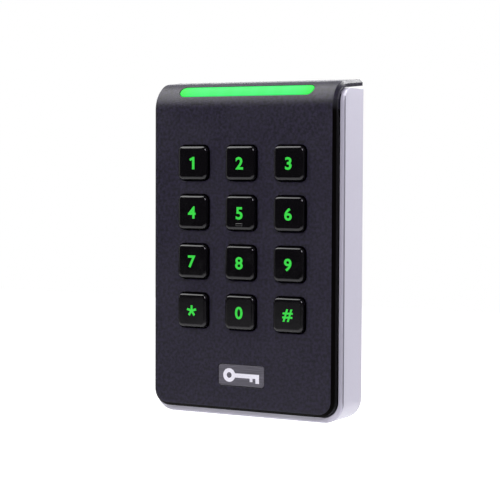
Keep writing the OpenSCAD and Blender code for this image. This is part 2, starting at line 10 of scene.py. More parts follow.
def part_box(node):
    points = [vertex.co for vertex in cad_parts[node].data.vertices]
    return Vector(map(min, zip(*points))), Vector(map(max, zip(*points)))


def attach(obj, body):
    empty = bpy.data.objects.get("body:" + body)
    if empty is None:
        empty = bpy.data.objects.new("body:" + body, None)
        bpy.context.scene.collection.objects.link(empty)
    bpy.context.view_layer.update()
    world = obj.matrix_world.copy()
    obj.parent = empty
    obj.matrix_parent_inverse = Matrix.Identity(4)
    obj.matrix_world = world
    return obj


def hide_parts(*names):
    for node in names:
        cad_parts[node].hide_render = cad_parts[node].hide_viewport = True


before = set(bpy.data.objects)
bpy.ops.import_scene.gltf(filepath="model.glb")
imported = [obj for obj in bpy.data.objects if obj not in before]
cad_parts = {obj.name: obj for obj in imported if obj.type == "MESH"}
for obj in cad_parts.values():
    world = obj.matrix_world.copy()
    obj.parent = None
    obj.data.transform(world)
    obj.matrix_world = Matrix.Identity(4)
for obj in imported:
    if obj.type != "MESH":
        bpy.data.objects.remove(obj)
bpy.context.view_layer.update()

bl_info = {
    "name": "Keypad access reader",
    "version": (1, 0, 0),
    "blender": (4, 5, 0),
    "location": "View3D > Sidebar > Reader",
    "description": "Builds the visible surfaces of a wall-mounted keypad access reader",
    "category": "Object",
}

MM = 0.001
BODY = "reader"

# Of each key: its body, its cap's frame node, its legend, its column and its row
KEYS = []
for row, symbols in enumerate(("123", "456", "789", "*0#")):
    for column, symbol in enumerate(symbols):
        name = {"*": "star", "#": "hash"}.get(symbol, symbol)
        KEYS.append(("key_" + name, "keycap_" + name, symbol, column, row))


def node_box(name):
    """The two corners of a frame node's box, in millimetres."""
    return np.array(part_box(name)) / MM


def node_middle(name):
    """The middle of a frame node's box, in metres."""
    low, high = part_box(name)
    return (Vector(low) + Vector(high)) / 2


def node_size(name):
    """The lengths of a frame node's box along X, Y and Z, in metres."""
    low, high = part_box(name)
    return Vector(high) - Vector(low)


# Places that the frame fixes, in millimetres
FACE_Y = node_box("front_cover")[0, 1]
KEY_X = [node_middle(n).x / MM for n in ("keycap_1", "keycap_2", "keycap_3")]
KEY_Z = [node_middle(n).z / MM for n in ("keycap_1", "keycap_4", "keycap_7", "keycap_star")]
KEY_FRONT, KEY_END = node_box("keycap_1")[:, 1]

# Sizes that stay as they are, in millimetres. HOOD_RISE, the hood's slope, and BAR_TURN, the turn round the
# bend's axis up to the status bar, are angles.
HOOD_RISE = math.radians(5)
BAR_TURN = math.radians(44)
BAR_HOLE = (56.4, 5.26)
BAR_HOLE_R = 2.45
LENS = (56.2, 5.04)
LENS_R = 2.34
LENS_DEPTH = 0.1

# Half the height of the grid's cells round the badge and the status bar
BADGE_REACH = 5.5
BAR_REACH = 3.8

# The polished edge, coloured with painted shade, runs this far above the bend's start. The edge gets thinner
# over this length below it.
EDGE_TOP = 3
EDGE_FADE = 3.5

# Behind the cover: bosses, their inserts and the skirt. Parts that meet the shell reach into it by OVERLAP.
BOSS_R = 3.3
INSERT_R = 2.1
SKIRT_WALL = 1.4
SKIRT_R = 5.7
OVERLAP = 0.02

# The radius of the housing's rounded top front corner
NOSE_R = 5.4

# Key caps: the flange's two depths, the wall beside the hollow, the depth of its floor, the stem and the pip
FLANGE = (4.3, 5.3)
CAP_WALL = 1.2
CAP_SKIN = 1.3
STEM_R = 2.3
PIP = (3.2, 1.1)
PIP_RISE = 0.3
PIP_DROP = 4.3

# Printed plates: their thickness, how far their middle stands out, and how far the legends sit below centre
LEGEND_PLATE = 0.02
LEGEND_OUT = 0.006
LEGEND_DROP = 0.1
MARK_PLATE = 0.04
MARK_OUT = 0.01

# Steps along the width and the height of each rounded rectangle
KEY_STEPS = (12, 12)
CAP_STEPS = (16, 16)
PIP_STEPS = (16, 10)
BAR_STEPS = (36, 12)
BADGE_STEPS = (20, 12)

# Points closer than WELD, in metres, are joined, and edges that turn more than SHARP_TURN stay sharp
WELD = 4e-6
SHARP_TURN = math.radians(40)


# Sizes and colours

def length(name, text, value):
    """A length property whose default is in millimetres."""
    return FloatProperty(
        name=name, description=text, default=value * MM, min=0, subtype="DISTANCE", unit="LENGTH")


def colour(name, text, value):
    """A linear colour property."""
    return FloatVectorProperty(
        name=name, description=text, default=value, size=3, min=0, max=1, subtype="COLOR")


class ReaderCoverSizes(bpy.types.PropertyGroup):
    """Sizes of the front cover"""
    half_width: length("Half-width", "Half the width of the cover at its front", 38.15)
    foot: length("Foot", "Distance of the cover's bottom edge below the housing's middle", 58.45)
    corner: length("Corner radius", "Radius of the cover's bottom corners", 6.15)
    shell: length("Shell", "Thickness of the cover's shell", 2.4)
    edge: length("Edge depth", "Depth of the cover's edge at the sides and the bottom", 3.25)
    bevel: length("Bevel", "Bevel round the cover's front edge", 1.1)
    rim_bar: length("Edge width", "Width of the deeper edge behind the bevel", 1.8)
    bend_radius: length("Bend radius", "Outer radius of the rolled top", 10)
    hood_flare: length("Hood flare", "How much wider the hood gets at each side", 1.426)
    softness: length("Edge softness", "Radius of the moulded edges", 0.35)


class ReaderKeySizes(bpy.types.PropertyGroup):
    """Sizes of the key caps, their apertures and legends"""
    width: length("Width", "Width of a key cap", 12.4)
    height: length("Height", "Height of a key cap", 12.6)
    corner: length("Corner radius", "Corner radius of a key cap", 2)
    bevel: length("Bevel", "Bevel round a key cap's front", 1)
    gap: length("Gap", "Gap round a key cap in its aperture", 0.42)
    legend: length("Legend height", "Height of the figures on the keys", 4.6)


class ReaderBadgeSizes(bpy.types.PropertyGroup):
    """Sizes of the badge"""
    gap: length("Gap", "Gap round the badge plate in its recess", 0.2)
    corner: length("Corner radius", "Corner radius of the badge plate", 1.2)
    mark: length("Mark width", "Width of the key pictogram", 15.2)


class ReaderColours(bpy.types.PropertyGroup):
    """Colours of the visible pieces"""
    cover: colour("Cover", "Satin plastic of the front cover", (0.0088, 0.0070, 0.0165))
    keys: colour("Keys", "Gloss plastic of the key caps", (0.0012, 0.0009, 0.0014))
    legend: colour("Legend", "Light in the key legends", (0.028, 0.56, 0.045))
    bar: colour("Status bar", "Light in the status bar", (0.03, 0.82, 0.14))
    silver: colour("Silver", "Painted housing", (0.525, 0.512, 0.58))
    badge: colour("Badge", "Satin badge plate", (0.105, 0.1, 0.118))
    mark: colour("Badge mark", "Foil of the badge's pictogram", (0.72, 0.71, 0.76))


# Mesh making

def soften(points, radii, steps=4):
    """A broken line with its corners rounded: at each corner two tangent points lie r * tan(half the turn)
    away from it, and between them the line follows the circle of radius r. Radius 0 keeps a corner sharp."""
    points = [np.array(p, float) for p in points]
    out = [points[0]]
    for before, here, after, r in zip(points, points[1:], points[2:], radii):
        u, w = here - before, after - here
        lu, lw = np.linalg.norm(u), np.linalg.norm(w)
        u, w = u / lu, w / lw
        turn = math.acos(float(np.clip(u @ w, -1, 1)))
        cut = r * math.tan(turn / 2)
        if r <= 0 or cut <= 0:
            out.append(here)
            continue
        t = np.linspace(0, turn, steps + 1)
        side = (w - u * (u @ w)) / math.sin(turn)
        arc = here - u * cut + r * (np.sin(t)[:, None] * u + (1 - np.cos(t))[:, None] * side)
        out.extend(arc)
    out.append(points[-1])
    return np.array(out)


def strip(rows, closed=False):
    """Quads between neighbouring rows of an array of points: (rows, columns, 3) in, points and quads out."""
    n, m = rows.shape[:2]
    index = np.arange(n * m).reshape(n, m)
    if closed:
        index = np.hstack([index, index[:, :1]])
    quads = np.stack([index[:-1, :-1], index[1:, :-1], index[1:, 1:], index[:-1, 1:]], -1)
    return rows.reshape(-1, 3), quads.reshape(-1, 4)


def outline(w, h, r, counts, arc=4):
    """A rounded rectangle as (points, 2), anticlockwise from the middle of its bottom left corner.
    Each side runs from the middle of one corner's arc to the middle of the next: half an arc of `arc` steps,
    a straight run of counts - 2 * arc steps, and half an arc."""
    r = max(r, 0)
    sides = []
    turn = np.linspace(-math.pi / 4, 0, arc + 1)
    for k, (long, wide, n) in enumerate(((w, h, counts[0]), (h, w, counts[1])) * 2):
        flat = max(long / 2 - r, 0)
        start = np.stack([-flat + r * np.sin(turn), -wide / 2 + r - r * np.cos(turn)], 1)
        run = np.stack([np.linspace(-flat, flat, n - 2 * arc + 1), np.full(n - 2 * arc + 1, -wide / 2)], 1)
        end = start[::-1] * [-1, 1]
        side = np.vstack([start[:-1], run, end[1:-1]])
        c, s = ((1, 0), (0, 1), (-1, 0), (0, -1))[k]
        sides.append(side @ np.array([[c, s], [-s, c]]))
    return np.vstack(sides)


def frame_lines(x0, x1, z0, z1, counts):
    """A rectangle's border as (points, 2), anticlockwise from its bottom left corner, in even steps."""
    xs, zs = np.linspace(x0, x1, counts[0] + 1), np.linspace(z0, z1, counts[1] + 1)
    return np.vstack([
        np.stack([xs[:-1], np.full(counts[0], z0)], 1), np.stack([np.full(counts[1], x1), zs[:-1]], 1),
        np.stack([xs[:0:-1], np.full(counts[0], z1)], 1), np.stack([np.full(counts[1], x0), zs[:0:-1]], 1),
    ])


def gather(parts):
    """Joins (points, faces) pairs into one list of points and one list of faces."""
    points, faces, base = [], [], 0
    for p, f in parts:
        points.append(np.asarray(p, float).reshape(-1, 3))
        if isinstance(f, np.ndarray):
            faces.extend((f + base).tolist())
        else:
            faces.extend([i + base for i in face] for face in f)
        base += len(points[-1])
    return np.vstack(points), faces


def linked(name, data):
    """A new object that holds a mesh, a curve, a light or a camera, linked to the scene."""
    made = bpy.data.objects.new(name, data)
    bpy.context.scene.collection.objects.link(made)
    return made


def piece(name, parts):
    """An object of parts in millimetres, welded where they meet, with its faces turned outwards and smooth
    between its sharp edges."""
    points, faces = gather(parts)
    mesh = bpy.data.meshes.new(name)
    mesh.from_pydata((points * MM).tolist(), [], faces)
    bm = bmesh.new()
    bm.from_mesh(mesh)
    bmesh.ops.remove_doubles(bm, verts=bm.verts, dist=WELD)
    bmesh.ops.dissolve_degenerate(bm, edges=bm.edges, dist=WELD)
    bmesh.ops.recalc_face_normals(bm, faces=bm.faces)
    bm.to_mesh(mesh)
    bm.free()
    mesh.shade_smooth()
    mesh.set_sharp_from_angle(angle=SHARP_TURN)
    return linked(name, mesh)


def finish_piece(made, body, slot, material, *nodes):
    """Gives a piece its body and its material, and hides the frame nodes it stands for. Its slot is not used.
    """
    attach(made, body)
    if nodes:
        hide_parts(*nodes)
    made.data.materials.clear()
    made.data.materials.append(material)
    return made


# Front cover: every point of it is (across, along, depth). Along runs up the flat face, round the rolled top
# and down the hood, and depth is measured square to that surface.

class CoverSurface:
    """The cover's sizes in millimetres and its outer surface."""

    def __init__(self):
        c = bpy.context.scene.reader_cover
        top = node_box("front_cover")[1, 2]
        self.half = c.half_width / MM
        self.foot = -c.foot / MM
        self.corner = c.corner / MM
        self.shell = c.shell / MM
        self.edge = c.edge / MM
        self.bevel = c.bevel / MM
        self.rim_bar = c.rim_bar / MM
        self.bend_r = c.bend_radius / MM
        self.flare = c.hood_flare / MM
        self.soft = c.softness / MM
        self.bend_y = FACE_Y + self.bend_r
        self.hood_l = (-self.bend_y + self.bend_r * math.sin(HOOD_RISE)) / math.cos(HOOD_RISE)
        self.bend_z = top - self.bend_r * math.cos(HOOD_RISE) - self.hood_l * math.sin(HOOD_RISE)
        self.bar = self.bend_z + self.bend_r * BAR_TURN
        self.roll_end = self.bend_z + self.bend_r * (math.pi / 2 - HOOD_RISE)
        self.end = self.roll_end + self.hood_l

    def __call__(self, x, s, d):
        """Flat up to the bend: (x, face + depth, s). On the roll, at angle a = (s - bend) / radius, the point
        is radius - depth from the bend's axis. On the hood it runs straight on, and x grows with it."""
        x, s, d = np.broadcast_arrays(np.asarray(x, float), np.asarray(s, float), np.asarray(d, float))
        a = np.clip((s - self.bend_z) / self.bend_r, 0, (self.roll_end - self.bend_z) / self.bend_r)
        run = np.maximum(s - self.roll_end, 0)
        r = self.bend_r - d
        y = self.bend_y - r * np.cos(a) + run * np.sin(a)
        z = self.bend_z + r * np.sin(a) + run * np.cos(a) + np.minimum(s - self.bend_z, 0)
        wide = x * (1 + self.flare * run / self.hood_l / self.half)
        return np.stack([wide, np.minimum(y, 0), z], -1)


def ring_patch(surface, middle, hole, r, steps, profile, cell):
    """From a cell's border inwards, in two steps, to a rounded rectangle, and then down a profile of
    (outwards, depth)."""
    border = frame_lines(*cell, steps)
    w, h = hole
    first = outline(w + 2 * profile[0][0], h + 2 * profile[0][0], r + profile[0][0], steps) + middle
    rows = [(border + (first - border) * t, profile[0][1]) for t in (0, 0.5, 1)]
    rows += [(outline(w + 2 * o, h + 2 * o, r + o, steps) + middle, d) for o, d in profile[1:]]
    return strip(np.array([surface(p[:, 0], p[:, 1], d) for p, d in rows]), closed=True)


def filled(surface, middle, size, r, steps, depth, rings):
    """A rounded rectangle filled by outlines that shrink to its middle line."""
    w, h = size
    insets = np.linspace(0, min(w, h) / 2, rings + 1)
    rows = [outline(w - 2 * i, h - 2 * i, r - i, steps) + middle for i in insets]
    return strip(np.array([surface(p[:, 0], p[:, 1], depth) for p in rows]), closed=True)


def cover_grid(c):
    """Grid lines across and along, and the cells that the keys, the badge and the status bar take."""
    n = KEY_STEPS[0]
    step_x, step_z = KEY_X[1] - KEY_X[0], KEY_Z[0] - KEY_Z[1]
    edge_x, edge_z = KEY_X[2] + step_x / 2, KEY_Z[3] - step_z / 2
    across = np.concatenate([
        np.linspace(c.half - c.corner, c.half - c.rim_bar, 5), [edge_x],
        np.linspace(0, edge_x, 3 * n // 2 + 1)])
    across = np.unique(np.round(np.concatenate([across, -across]), 6))
    badge = node_middle("badge").z / MM
    along = np.unique(np.round(np.concatenate([
        np.linspace(c.foot + c.rim_bar, c.foot + c.corner, 5),
        np.linspace(badge - BADGE_REACH, badge + BADGE_REACH, n + 1),
        np.linspace(edge_z, edge_z + 4 * step_z, 4 * n + 1),
        np.linspace(edge_z + 4 * step_z, c.bend_z, 5),
        np.linspace(c.bend_z, c.bar - BAR_REACH, 9),
        np.linspace(c.bar - BAR_REACH, c.bar + BAR_REACH, n + 1),
        np.linspace(c.bar + BAR_REACH, c.roll_end, 7),
        np.linspace(c.roll_end, c.end, 6)]), 6))
    half = step_x / 2
    side = step_x * 5 / 6
    cells = {("key", i, j): (x - half, x + half, z - step_z / 2, z + step_z / 2)
             for i, x in enumerate(KEY_X) for j, z in enumerate(KEY_Z)}
    cells["badge"] = (-side, side, badge - BADGE_REACH, badge + BADGE_REACH)
    cells["bar"] = (-edge_x, edge_x, c.bar - BAR_REACH, c.bar + BAR_REACH)
    return across, along, cells


def skin(c, across, along, skip, depth):
    """The grid's squares at one depth, without the cells in skip, with its two bottom corners as fans whose
    spokes turn about the corner's centre."""
    x, s = np.meshgrid(across, along)
    points, quads = strip(c(x, s, depth))
    mid_x = ((x[:-1, :-1] + x[1:, 1:]) / 2).ravel()
    mid_s = ((s[:-1, :-1] + s[1:, 1:]) / 2).ravel()
    keep = ~((abs(mid_x) > c.half - c.corner) & (mid_s < c.foot + c.corner))
    for x0, x1, z0, z1 in skip:
        keep &= ~((mid_x > x0) & (mid_x < x1) & (mid_s > z0) & (mid_s < z1))
    parts = [(points, quads[keep])]
    radius = np.linspace(0, c.corner - c.rim_bar, 5)[:, None]
    for sign in (-1, 1):
        turn = np.linspace(0, math.pi / 2, 13)[None, :]
        fx = sign * (c.half - c.corner + radius * np.sin(turn))
        fs = c.foot + c.corner - radius * np.cos(turn)
        parts.append(strip(c(fx, fs, depth)))
    return parts


def cover_border(c, across, along):
    """The way round the cover: up to the hood's end on both sides and round both bottom corners,
    as points on the outline and the direction inwards at each."""
    down = along[along >= c.foot + c.corner - 1e-6][::-1]
    flat = across[abs(across) <= c.half - c.corner + 1e-6]
    turn = np.linspace(0, math.pi / 2, 13)[1:-1]
    left = np.stack([np.full(len(down), -c.half), down], 1)
    centre = np.array([c.half - c.corner, c.foot + c.corner])
    arc = np.stack([-np.cos(turn), -np.sin(turn)], 1)
    first = arc * c.corner + centre * [-1, 1]
    bottom = np.stack([flat, np.full(len(flat), c.foot)], 1)
    base = np.vstack([left, first, bottom, (first * [-1, 1])[::-1], (left * [-1, 1])[::-1]])
    inward = np.vstack([
        np.tile([1.0, 0.0], (len(left), 1)), -arc, np.tile([0.0, 1.0], (len(flat), 1)),
        (-arc * [-1, 1])[::-1], np.tile([-1.0, 0.0], (len(left), 1))])
    return base, inward


def badge_recess(c, cell):
    """The badge's recess: a softened wall down to a flat floor."""
    b = bpy.context.scene.reader_badge
    size = node_size("badge")
    w, h = (size.x + 2 * b.gap) / MM, (size.z + 2 * b.gap) / MM
    r = (b.corner + b.gap) / MM
    middle = (0, node_middle("badge").z / MM)
    depth = node_box("badge")[1, 1] - FACE_Y
    foot = 0.4
    wall = soften([(foot, 0), (0, 0), (0, depth), (-foot, depth)], (0.15, 0.1))
    return [
        ring_patch(c, middle, (w, h), r, BADGE_STEPS, wall, cell),
        filled(c, middle, (w - 2 * foot, h - 2 * foot), r - foot, BADGE_STEPS, depth, 4)]


def opening(c, middle, hole, r, steps, lips, radii, cell):
    """An opening through the shell: from the outer skin down a softened wall, and from the inner skin to the
    same wall. Lips say how far the profile runs out over the outer and the inner skin."""
    wall = soften([(lips[0], 0), (0, 0), (0, c.shell), (lips[1], c.shell)], radii)
    return [ring_patch(c, middle, hole, r, steps, profile, cell) for profile in (wall, [(lips[1], c.shell)])]


def opening_parts(c, cells):
    """The walls round the keys, the badge and the status bar, out to the borders of their cells."""
    k = bpy.context.scene.reader_keys
    gap = k.gap / MM
    key_hole = (k.width / MM + 2 * gap, k.height / MM + 2 * gap)
    key_r = k.corner / MM + gap
    parts = []
    for name, cell in cells.items():
        if name == "badge":
            parts += badge_recess(c, cell)
        elif name == "bar":
            parts += opening(c, (0, c.bar), BAR_HOLE, BAR_HOLE_R, BAR_STEPS, (0.4, 0.4), (0.2, 0.1), cell)
        else:
            middle = (KEY_X[name[1]], KEY_Z[name[2]])
            parts += opening(c, middle, key_hole, key_r, KEY_STEPS, (0.7, 0.5), (0.3, 0.12), cell)
    return parts


def edge_band(c, across, along):
    """The edge's profile of bevel, side and underside carried round the outline. Over EDGE_FADE below the
    roll the deeper edge thins down to the shell, by the smooth step 3t^2 - 2t^3."""
    inset = c.rim_bar
    base, inward = cover_border(c, across, along)
    edge = soften(
        [(inset, 0), (c.bevel, 0), (0, c.bevel), (0, c.edge), (inset, c.edge), (inset, c.shell)],
        (c.soft, c.soft, 0.2, 0.1))
    a, d = edge[:, 0], edge[:, 1]
    fade = np.clip((base[:, 1] - c.bend_z + EDGE_FADE) / EDGE_FADE, 0, 1)
    fade = fade * fade * (3 - 2 * fade)
    start = c.bevel + c.soft
    deep = c.edge - (c.edge - c.shell) * fade[None, :]
    thinned = start + (d[:, None] - start) * (deep - start) / (c.edge - start)
    depth = np.where((d > start)[:, None], thinned, d[:, None])
    inner = (a >= inset - 1e-9) & (d > start)
    depth[inner] = np.maximum(depth[inner], c.shell)
    depth[-1] = c.shell
    x = base[None, :, 0] + a[:, None] * inward[None, :, 0]
    s = base[None, :, 1] + a[:, None] * inward[None, :, 1]
    return c(x, s, depth)


def cover_shell():
    """The cover's outer and inner skins, joined round each opening and along the edge, with the hood's end
    flush with the wall, the skirt, the plates that close the roll and the four bosses."""
    c = CoverSurface()
    across, along, cells = cover_grid(c)
    parts = skin(c, across, along, cells.values(), 0)
    parts += skin(c, across, along, [cell for name, cell in cells.items() if name != "badge"], c.shell)
    parts += opening_parts(c, cells)
    band = edge_band(c, across, along)
    parts += [strip(band), hood_end(c, across, band)]
    parts += skirt(c) + cheek(c, 1) + cheek(c, -1)
    low, high = node_box("cover_inserts")
    for sx in (-1, 1):
        for sz in (-1, 1):
            x, z = sx * (high[0] - INSERT_R), sz * (high[2] - INSERT_R)
            parts += boss(x, z, FACE_Y + c.shell - OVERLAP, low[1], high[1])
    return parts


def boss(x, z, start, floor, end):
    """A round post with a blind bore for an insert: its section turned about its own axis."""
    section = [(0, floor), (INSERT_R, floor), (INSERT_R, end), (BOSS_R, end), (BOSS_R, start), (0, start)]
    return turned(x, z, soften(section, (0.05, 0.1, 0.2, 0.1), 3))


def hood_end(c, across, border):
    """One flat face along the wall: the outer skin's last row, the edge's profile, the inner row and the
    other edge's profile."""
    outer = c(across, c.end, 0)
    under = c(across, c.end, c.shell)[::-1]
    loop = np.vstack([outer[:-1], border[:, -1][:-1], under[:-1], border[::-1, 0][:-1]])
    return loop, [list(range(len(loop)))]


def tub_path(half, foot, top, r):
    """A U from the top left, down, round two corners of radius r and up again, with its inward directions."""
    turn = np.linspace(0, math.pi / 2, 11)
    arc = np.stack([-np.cos(turn), -np.sin(turn)], 1)
    first = arc * r + [-half + r, foot + r]
    base = np.vstack([[(-half, top)], first, (first * [-1, 1])[::-1], [(half, top)]])
    inward = np.vstack([[(1, 0)], -arc, (-arc * [-1, 1])[::-1], [(-1, 0)]])
    return base, inward


def skirt(c):
    """The U-shaped wall under the cover that reaches into the housing: a rectangle carried round a U."""
    low, high = node_box("cover_seal")
    base, inward = tub_path(high[0], low[2], c.bend_z - 0.5, SKIRT_R)
    end = low[1]
    start = FACE_Y + c.shell - OVERLAP
    section = soften([(0, start), (0, end), (SKIRT_WALL, end), (SKIRT_WALL, start)], (0.2, 0.2), 2)
    rows = np.array([
        np.stack([base[:, 0] + a * inward[:, 0], np.full(len(base), y), base[:, 1] + a * inward[:, 1]], 1)
        for a, y in section])
    loop = np.vstack([rows, rows[:1]])
    ends = [(rows[:, i], [list(range(len(rows)))]) for i in (0, -1)]
    return [strip(loop)] + ends


def cheek(c, side):
    """The plate that closes one end of the roll above the skirt, a little narrower than the skirt all round.
    Its edge is an arc about the bend's axis that runs inside the shell, then an arc that keeps clear of the
    housing's rounded front, and a straight back."""
    seal_low, seal_high = node_box("cover_seal")
    housing_low, housing_high = node_box("housing")
    margin = 0.05
    outer, inner = seal_high[0] - margin, seal_high[0] - SKIRT_WALL + margin
    back = seal_low[1] - margin
    foot = c.bend_z - 1.2
    top = housing_high[2] - 2.3
    r = c.bend_r - c.shell + 0.3
    nose_y, nose_z = housing_low[1] + NOSE_R, housing_high[2] - NOSE_R
    clear = NOSE_R + 0.12
    last = math.radians(80)
    up = np.linspace(0, last, 17)
    down = np.linspace(last, math.asin((top - nose_z) / clear), 13)
    roll_arc = np.stack([c.bend_y - r * np.cos(up), c.bend_z + r * np.sin(up)], 1)
    nose_arc = np.stack([nose_y - clear * np.cos(down), nose_z + clear * np.sin(down)], 1)
    edge = np.vstack([[(back, foot), (roll_arc[0, 0], foot)], roll_arc, nose_arc, [(back, top)]])
    rows = np.array([np.hstack([np.full((len(edge), 1), side * x), edge]) for x in (outer, inner)])
    return [strip(rows, closed=True)] + [(row, [list(range(len(row)))]) for row in rows]


# Keys

class FlatSurface:
    """A plane across the reader at a depth: (x, y, z) with y = the surface's own height plus depth."""

    def __init__(self, y):
        self.y = y

    def __call__(self, x, s, d):
        x, s, d = np.broadcast_arrays(np.asarray(x, float), np.asarray(s, float), np.asarray(d, float))
        return np.stack([x, self.y + d, s], -1)


def carried(surface, middle, size, r, steps, profile):
    """A profile of (outwards, depth) carried round a rounded rectangle."""
    w, h = size
    rows = [outline(w + 2 * o, h + 2 * o, r + o, steps) + middle for o, _ in profile]
    return strip(np.array([surface(p[:, 0], p[:, 1], d) for p, (_, d) in zip(rows, profile)]), closed=True)


def plate_parts(surface, middle, size, r, steps, inset, depths, rings):
    """A plate between two depths: its softened edge, and its two faces filled from the inset inwards."""
    front, back = depths
    edge = soften([(-inset, front), (0, front), (0, back), (-inset, back)], (0.2, 0.1))
    inner = (size[0] - 2 * inset, size[1] - 2 * inset)
    faces = [filled(surface, middle, inner, r - inset, steps, depth, rings) for depth in depths]
    return [carried(surface, middle, size, r, steps, edge)] + faces


def keycap_parts(x, z, pip):
    """A cap: its front filled to the bevel, a profile of rounded bevel, side and flange carried round it, the
    hollow behind with its own floor, and the stem. The pip is a low bar with round ends."""
    k = bpy.context.scene.reader_keys
    flat = FlatSurface(KEY_FRONT)
    size = (k.width / MM, k.height / MM)
    r, bevel = k.corner / MM, k.bevel / MM
    grip = (node_size("keycap_1").x / MM - size[0]) / 2
    front = 1.35 * bevel + 0.3
    floor = 2
    side = soften(
        [(-front, 0), (-1.08 * bevel, 0), (-0.22 * bevel, 0.22 * bevel), (0, 1.08 * bevel),
         (0, FLANGE[0]), (grip, FLANGE[0]), (grip, FLANGE[1]), (-CAP_WALL, FLANGE[1]),
         (-CAP_WALL, CAP_SKIN), (-floor, CAP_SKIN)],
        (1.15, 0.75, 1.15, 0.1, 0.12, 0.12, 0.1, 0.3), 5)
    parts = [
        filled(flat, (x, z), (size[0] - 2 * front, size[1] - 2 * front), r - front, CAP_STEPS, 0, 3),
        carried(flat, (x, z), size, r, CAP_STEPS, side),
        filled(flat, (x, z), (size[0] - 2 * floor, size[1] - 2 * floor), r - floor, CAP_STEPS, CAP_SKIN, 3),
    ]
    parts += rod(x, z, STEM_R, KEY_FRONT + CAP_WALL, KEY_END)
    if pip:
        end = PIP[1] / 2
        centre_line = 0.0001 - end
        top = soften([(0, 0.05), (0, -PIP_RISE), (-end, -PIP_RISE)], (0.28,), 5)
        top[-1][0] = centre_line
        for profile in (top, [(0, 0.05), (centre_line, 0.05)]):
            parts.append(carried(flat, (x, z - PIP_DROP), PIP, end, PIP_STEPS, profile))
    return parts


def turned(x, z, section):
    """A section of (radius, y) turned about an axis along Y: (x + radius * cos, y, z + radius * sin)."""
    n = 32
    t = np.linspace(0, 2 * math.pi, n, endpoint=False)
    rows = np.array([np.stack([x + a * np.cos(t), np.full(n, y), z + a * np.sin(t)], 1) for a, y in section])
    return [strip(rows, closed=True)]


def rod(x, z, r, y0, y1):
    """A round bar along Y, closed by a point at each end."""
    return turned(x, z, soften([(0, y0), (r, y0), (r, y1), (0, y1)], (0.15, 0.15), 3))


# Flat shapes: legends and the badge's mark

def flat_mesh(curve):
    """The mesh of a flat curve or a text, in its own plane, with the curve removed."""
    holder = linked("flat_shape", curve)
    graph = bpy.context.evaluated_depsgraph_get()
    mesh = bpy.data.meshes.new_from_object(holder.evaluated_get(graph))
    bpy.data.objects.remove(holder)
    bpy.data.curves.remove(curve)
    return mesh


def loops_curve(name, loops, thick):
    """A filled flat curve of closed loops, where a loop inside another is a hole."""
    curve = bpy.data.curves.new(name, "CURVE")
    curve.dimensions = "2D"
    curve.fill_mode = "BOTH"
    curve.extrude = thick / 2
    for loop in loops:
        spline = curve.splines.new("POLY")
        spline.points.add(len(loop) - 1)
        points = np.column_stack([loop, np.zeros(len(loop)), np.ones(len(loop))])
        spline.points.foreach_set("co", points.ravel())
        spline.use_cyclic_u = True
    return curve


def letter_curve(name, symbol, stroke, thick):
    """A figure from the built-in face, thickened by an offset of its outline."""
    curve = bpy.data.curves.new(name, "FONT")
    curve.body = symbol
    curve.offset = stroke
    curve.extrude = thick
    curve.resolution_u = 8
    return curve


def one_loop():
    """The figure 1 without a foot: an upright with a flag, in units of its height."""
    return [(-0.02, 0), (0.2, 0), (0.2, 1), (0.03, 1), (-0.27, 0.84), (-0.2, 0.67), (-0.02, 0.76)]


def star_loop(arms=5, reach=0.5, half=0.105):
    """A star of bars from one middle: each arm's two end corners, then the notch where it meets the next."""
    turn = math.pi / 2 + np.arange(arms) * 2 * math.pi / arms
    along = np.stack([np.cos(turn), np.sin(turn)], 1)
    across = np.stack([-along[:, 1], along[:, 0]], 1)
    notch = half / math.sin(math.pi / arms)
    between = turn + math.pi / arms
    dip = notch * np.stack([np.cos(between), np.sin(between)], 1)
    return np.stack([along * reach - across * half, along * reach + across * half, dip], 1).reshape(-1, 2)


def legend_mesh(symbol, height):
    """A legend of the given height in metres, centred, as a thin plate. The hash leans a little."""
    thick = 0.01
    tall, wide = height, 1.0
    if symbol == "1":
        mesh = flat_mesh(loops_curve("legend", [one_loop()], thick))
    elif symbol == "*":
        mesh = flat_mesh(loops_curve("legend", [star_loop()], thick))
        tall = height * 0.86
    else:
        mesh = flat_mesh(letter_curve("legend", symbol, 0.024, thick))
        wide = 1.06
    points = np.empty(len(mesh.vertices) * 3)
    mesh.vertices.foreach_get("co", points)
    points = points.reshape(-1, 3)
    low, high = points.min(0), points.max(0)
    scale = tall / (high[1] - low[1])
    points = (points - (low + high) / 2) * [scale * wide, scale, LEGEND_PLATE * MM / (high[2] - low[2])]
    if symbol == "#":
        points[:, 0] += points[:, 1] * 0.1
    mesh.vertices.foreach_set("co", points.ravel())
    return mesh


def upright(mesh, x, y, z):
    """Stands a flat mesh up to face the front and moves it to its place, in the mesh itself."""
    mesh.transform(Matrix.Translation((x, y, z)) @ Matrix.Rotation(math.pi / 2, 4, "X"))
    mesh.validate()
    mesh.update()
    return mesh


def flat_object(name, mesh):
    """An object for a flat shape's mesh, welded and turned outwards."""
    bm = bmesh.new()
    bm.from_mesh(mesh)
    bmesh.ops.remove_doubles(bm, verts=bm.verts, dist=2e-6)
    bmesh.ops.recalc_face_normals(bm, faces=bm.faces)
    bm.to_mesh(mesh)
    bm.free()
    mesh.name = name
    return linked(name, mesh)


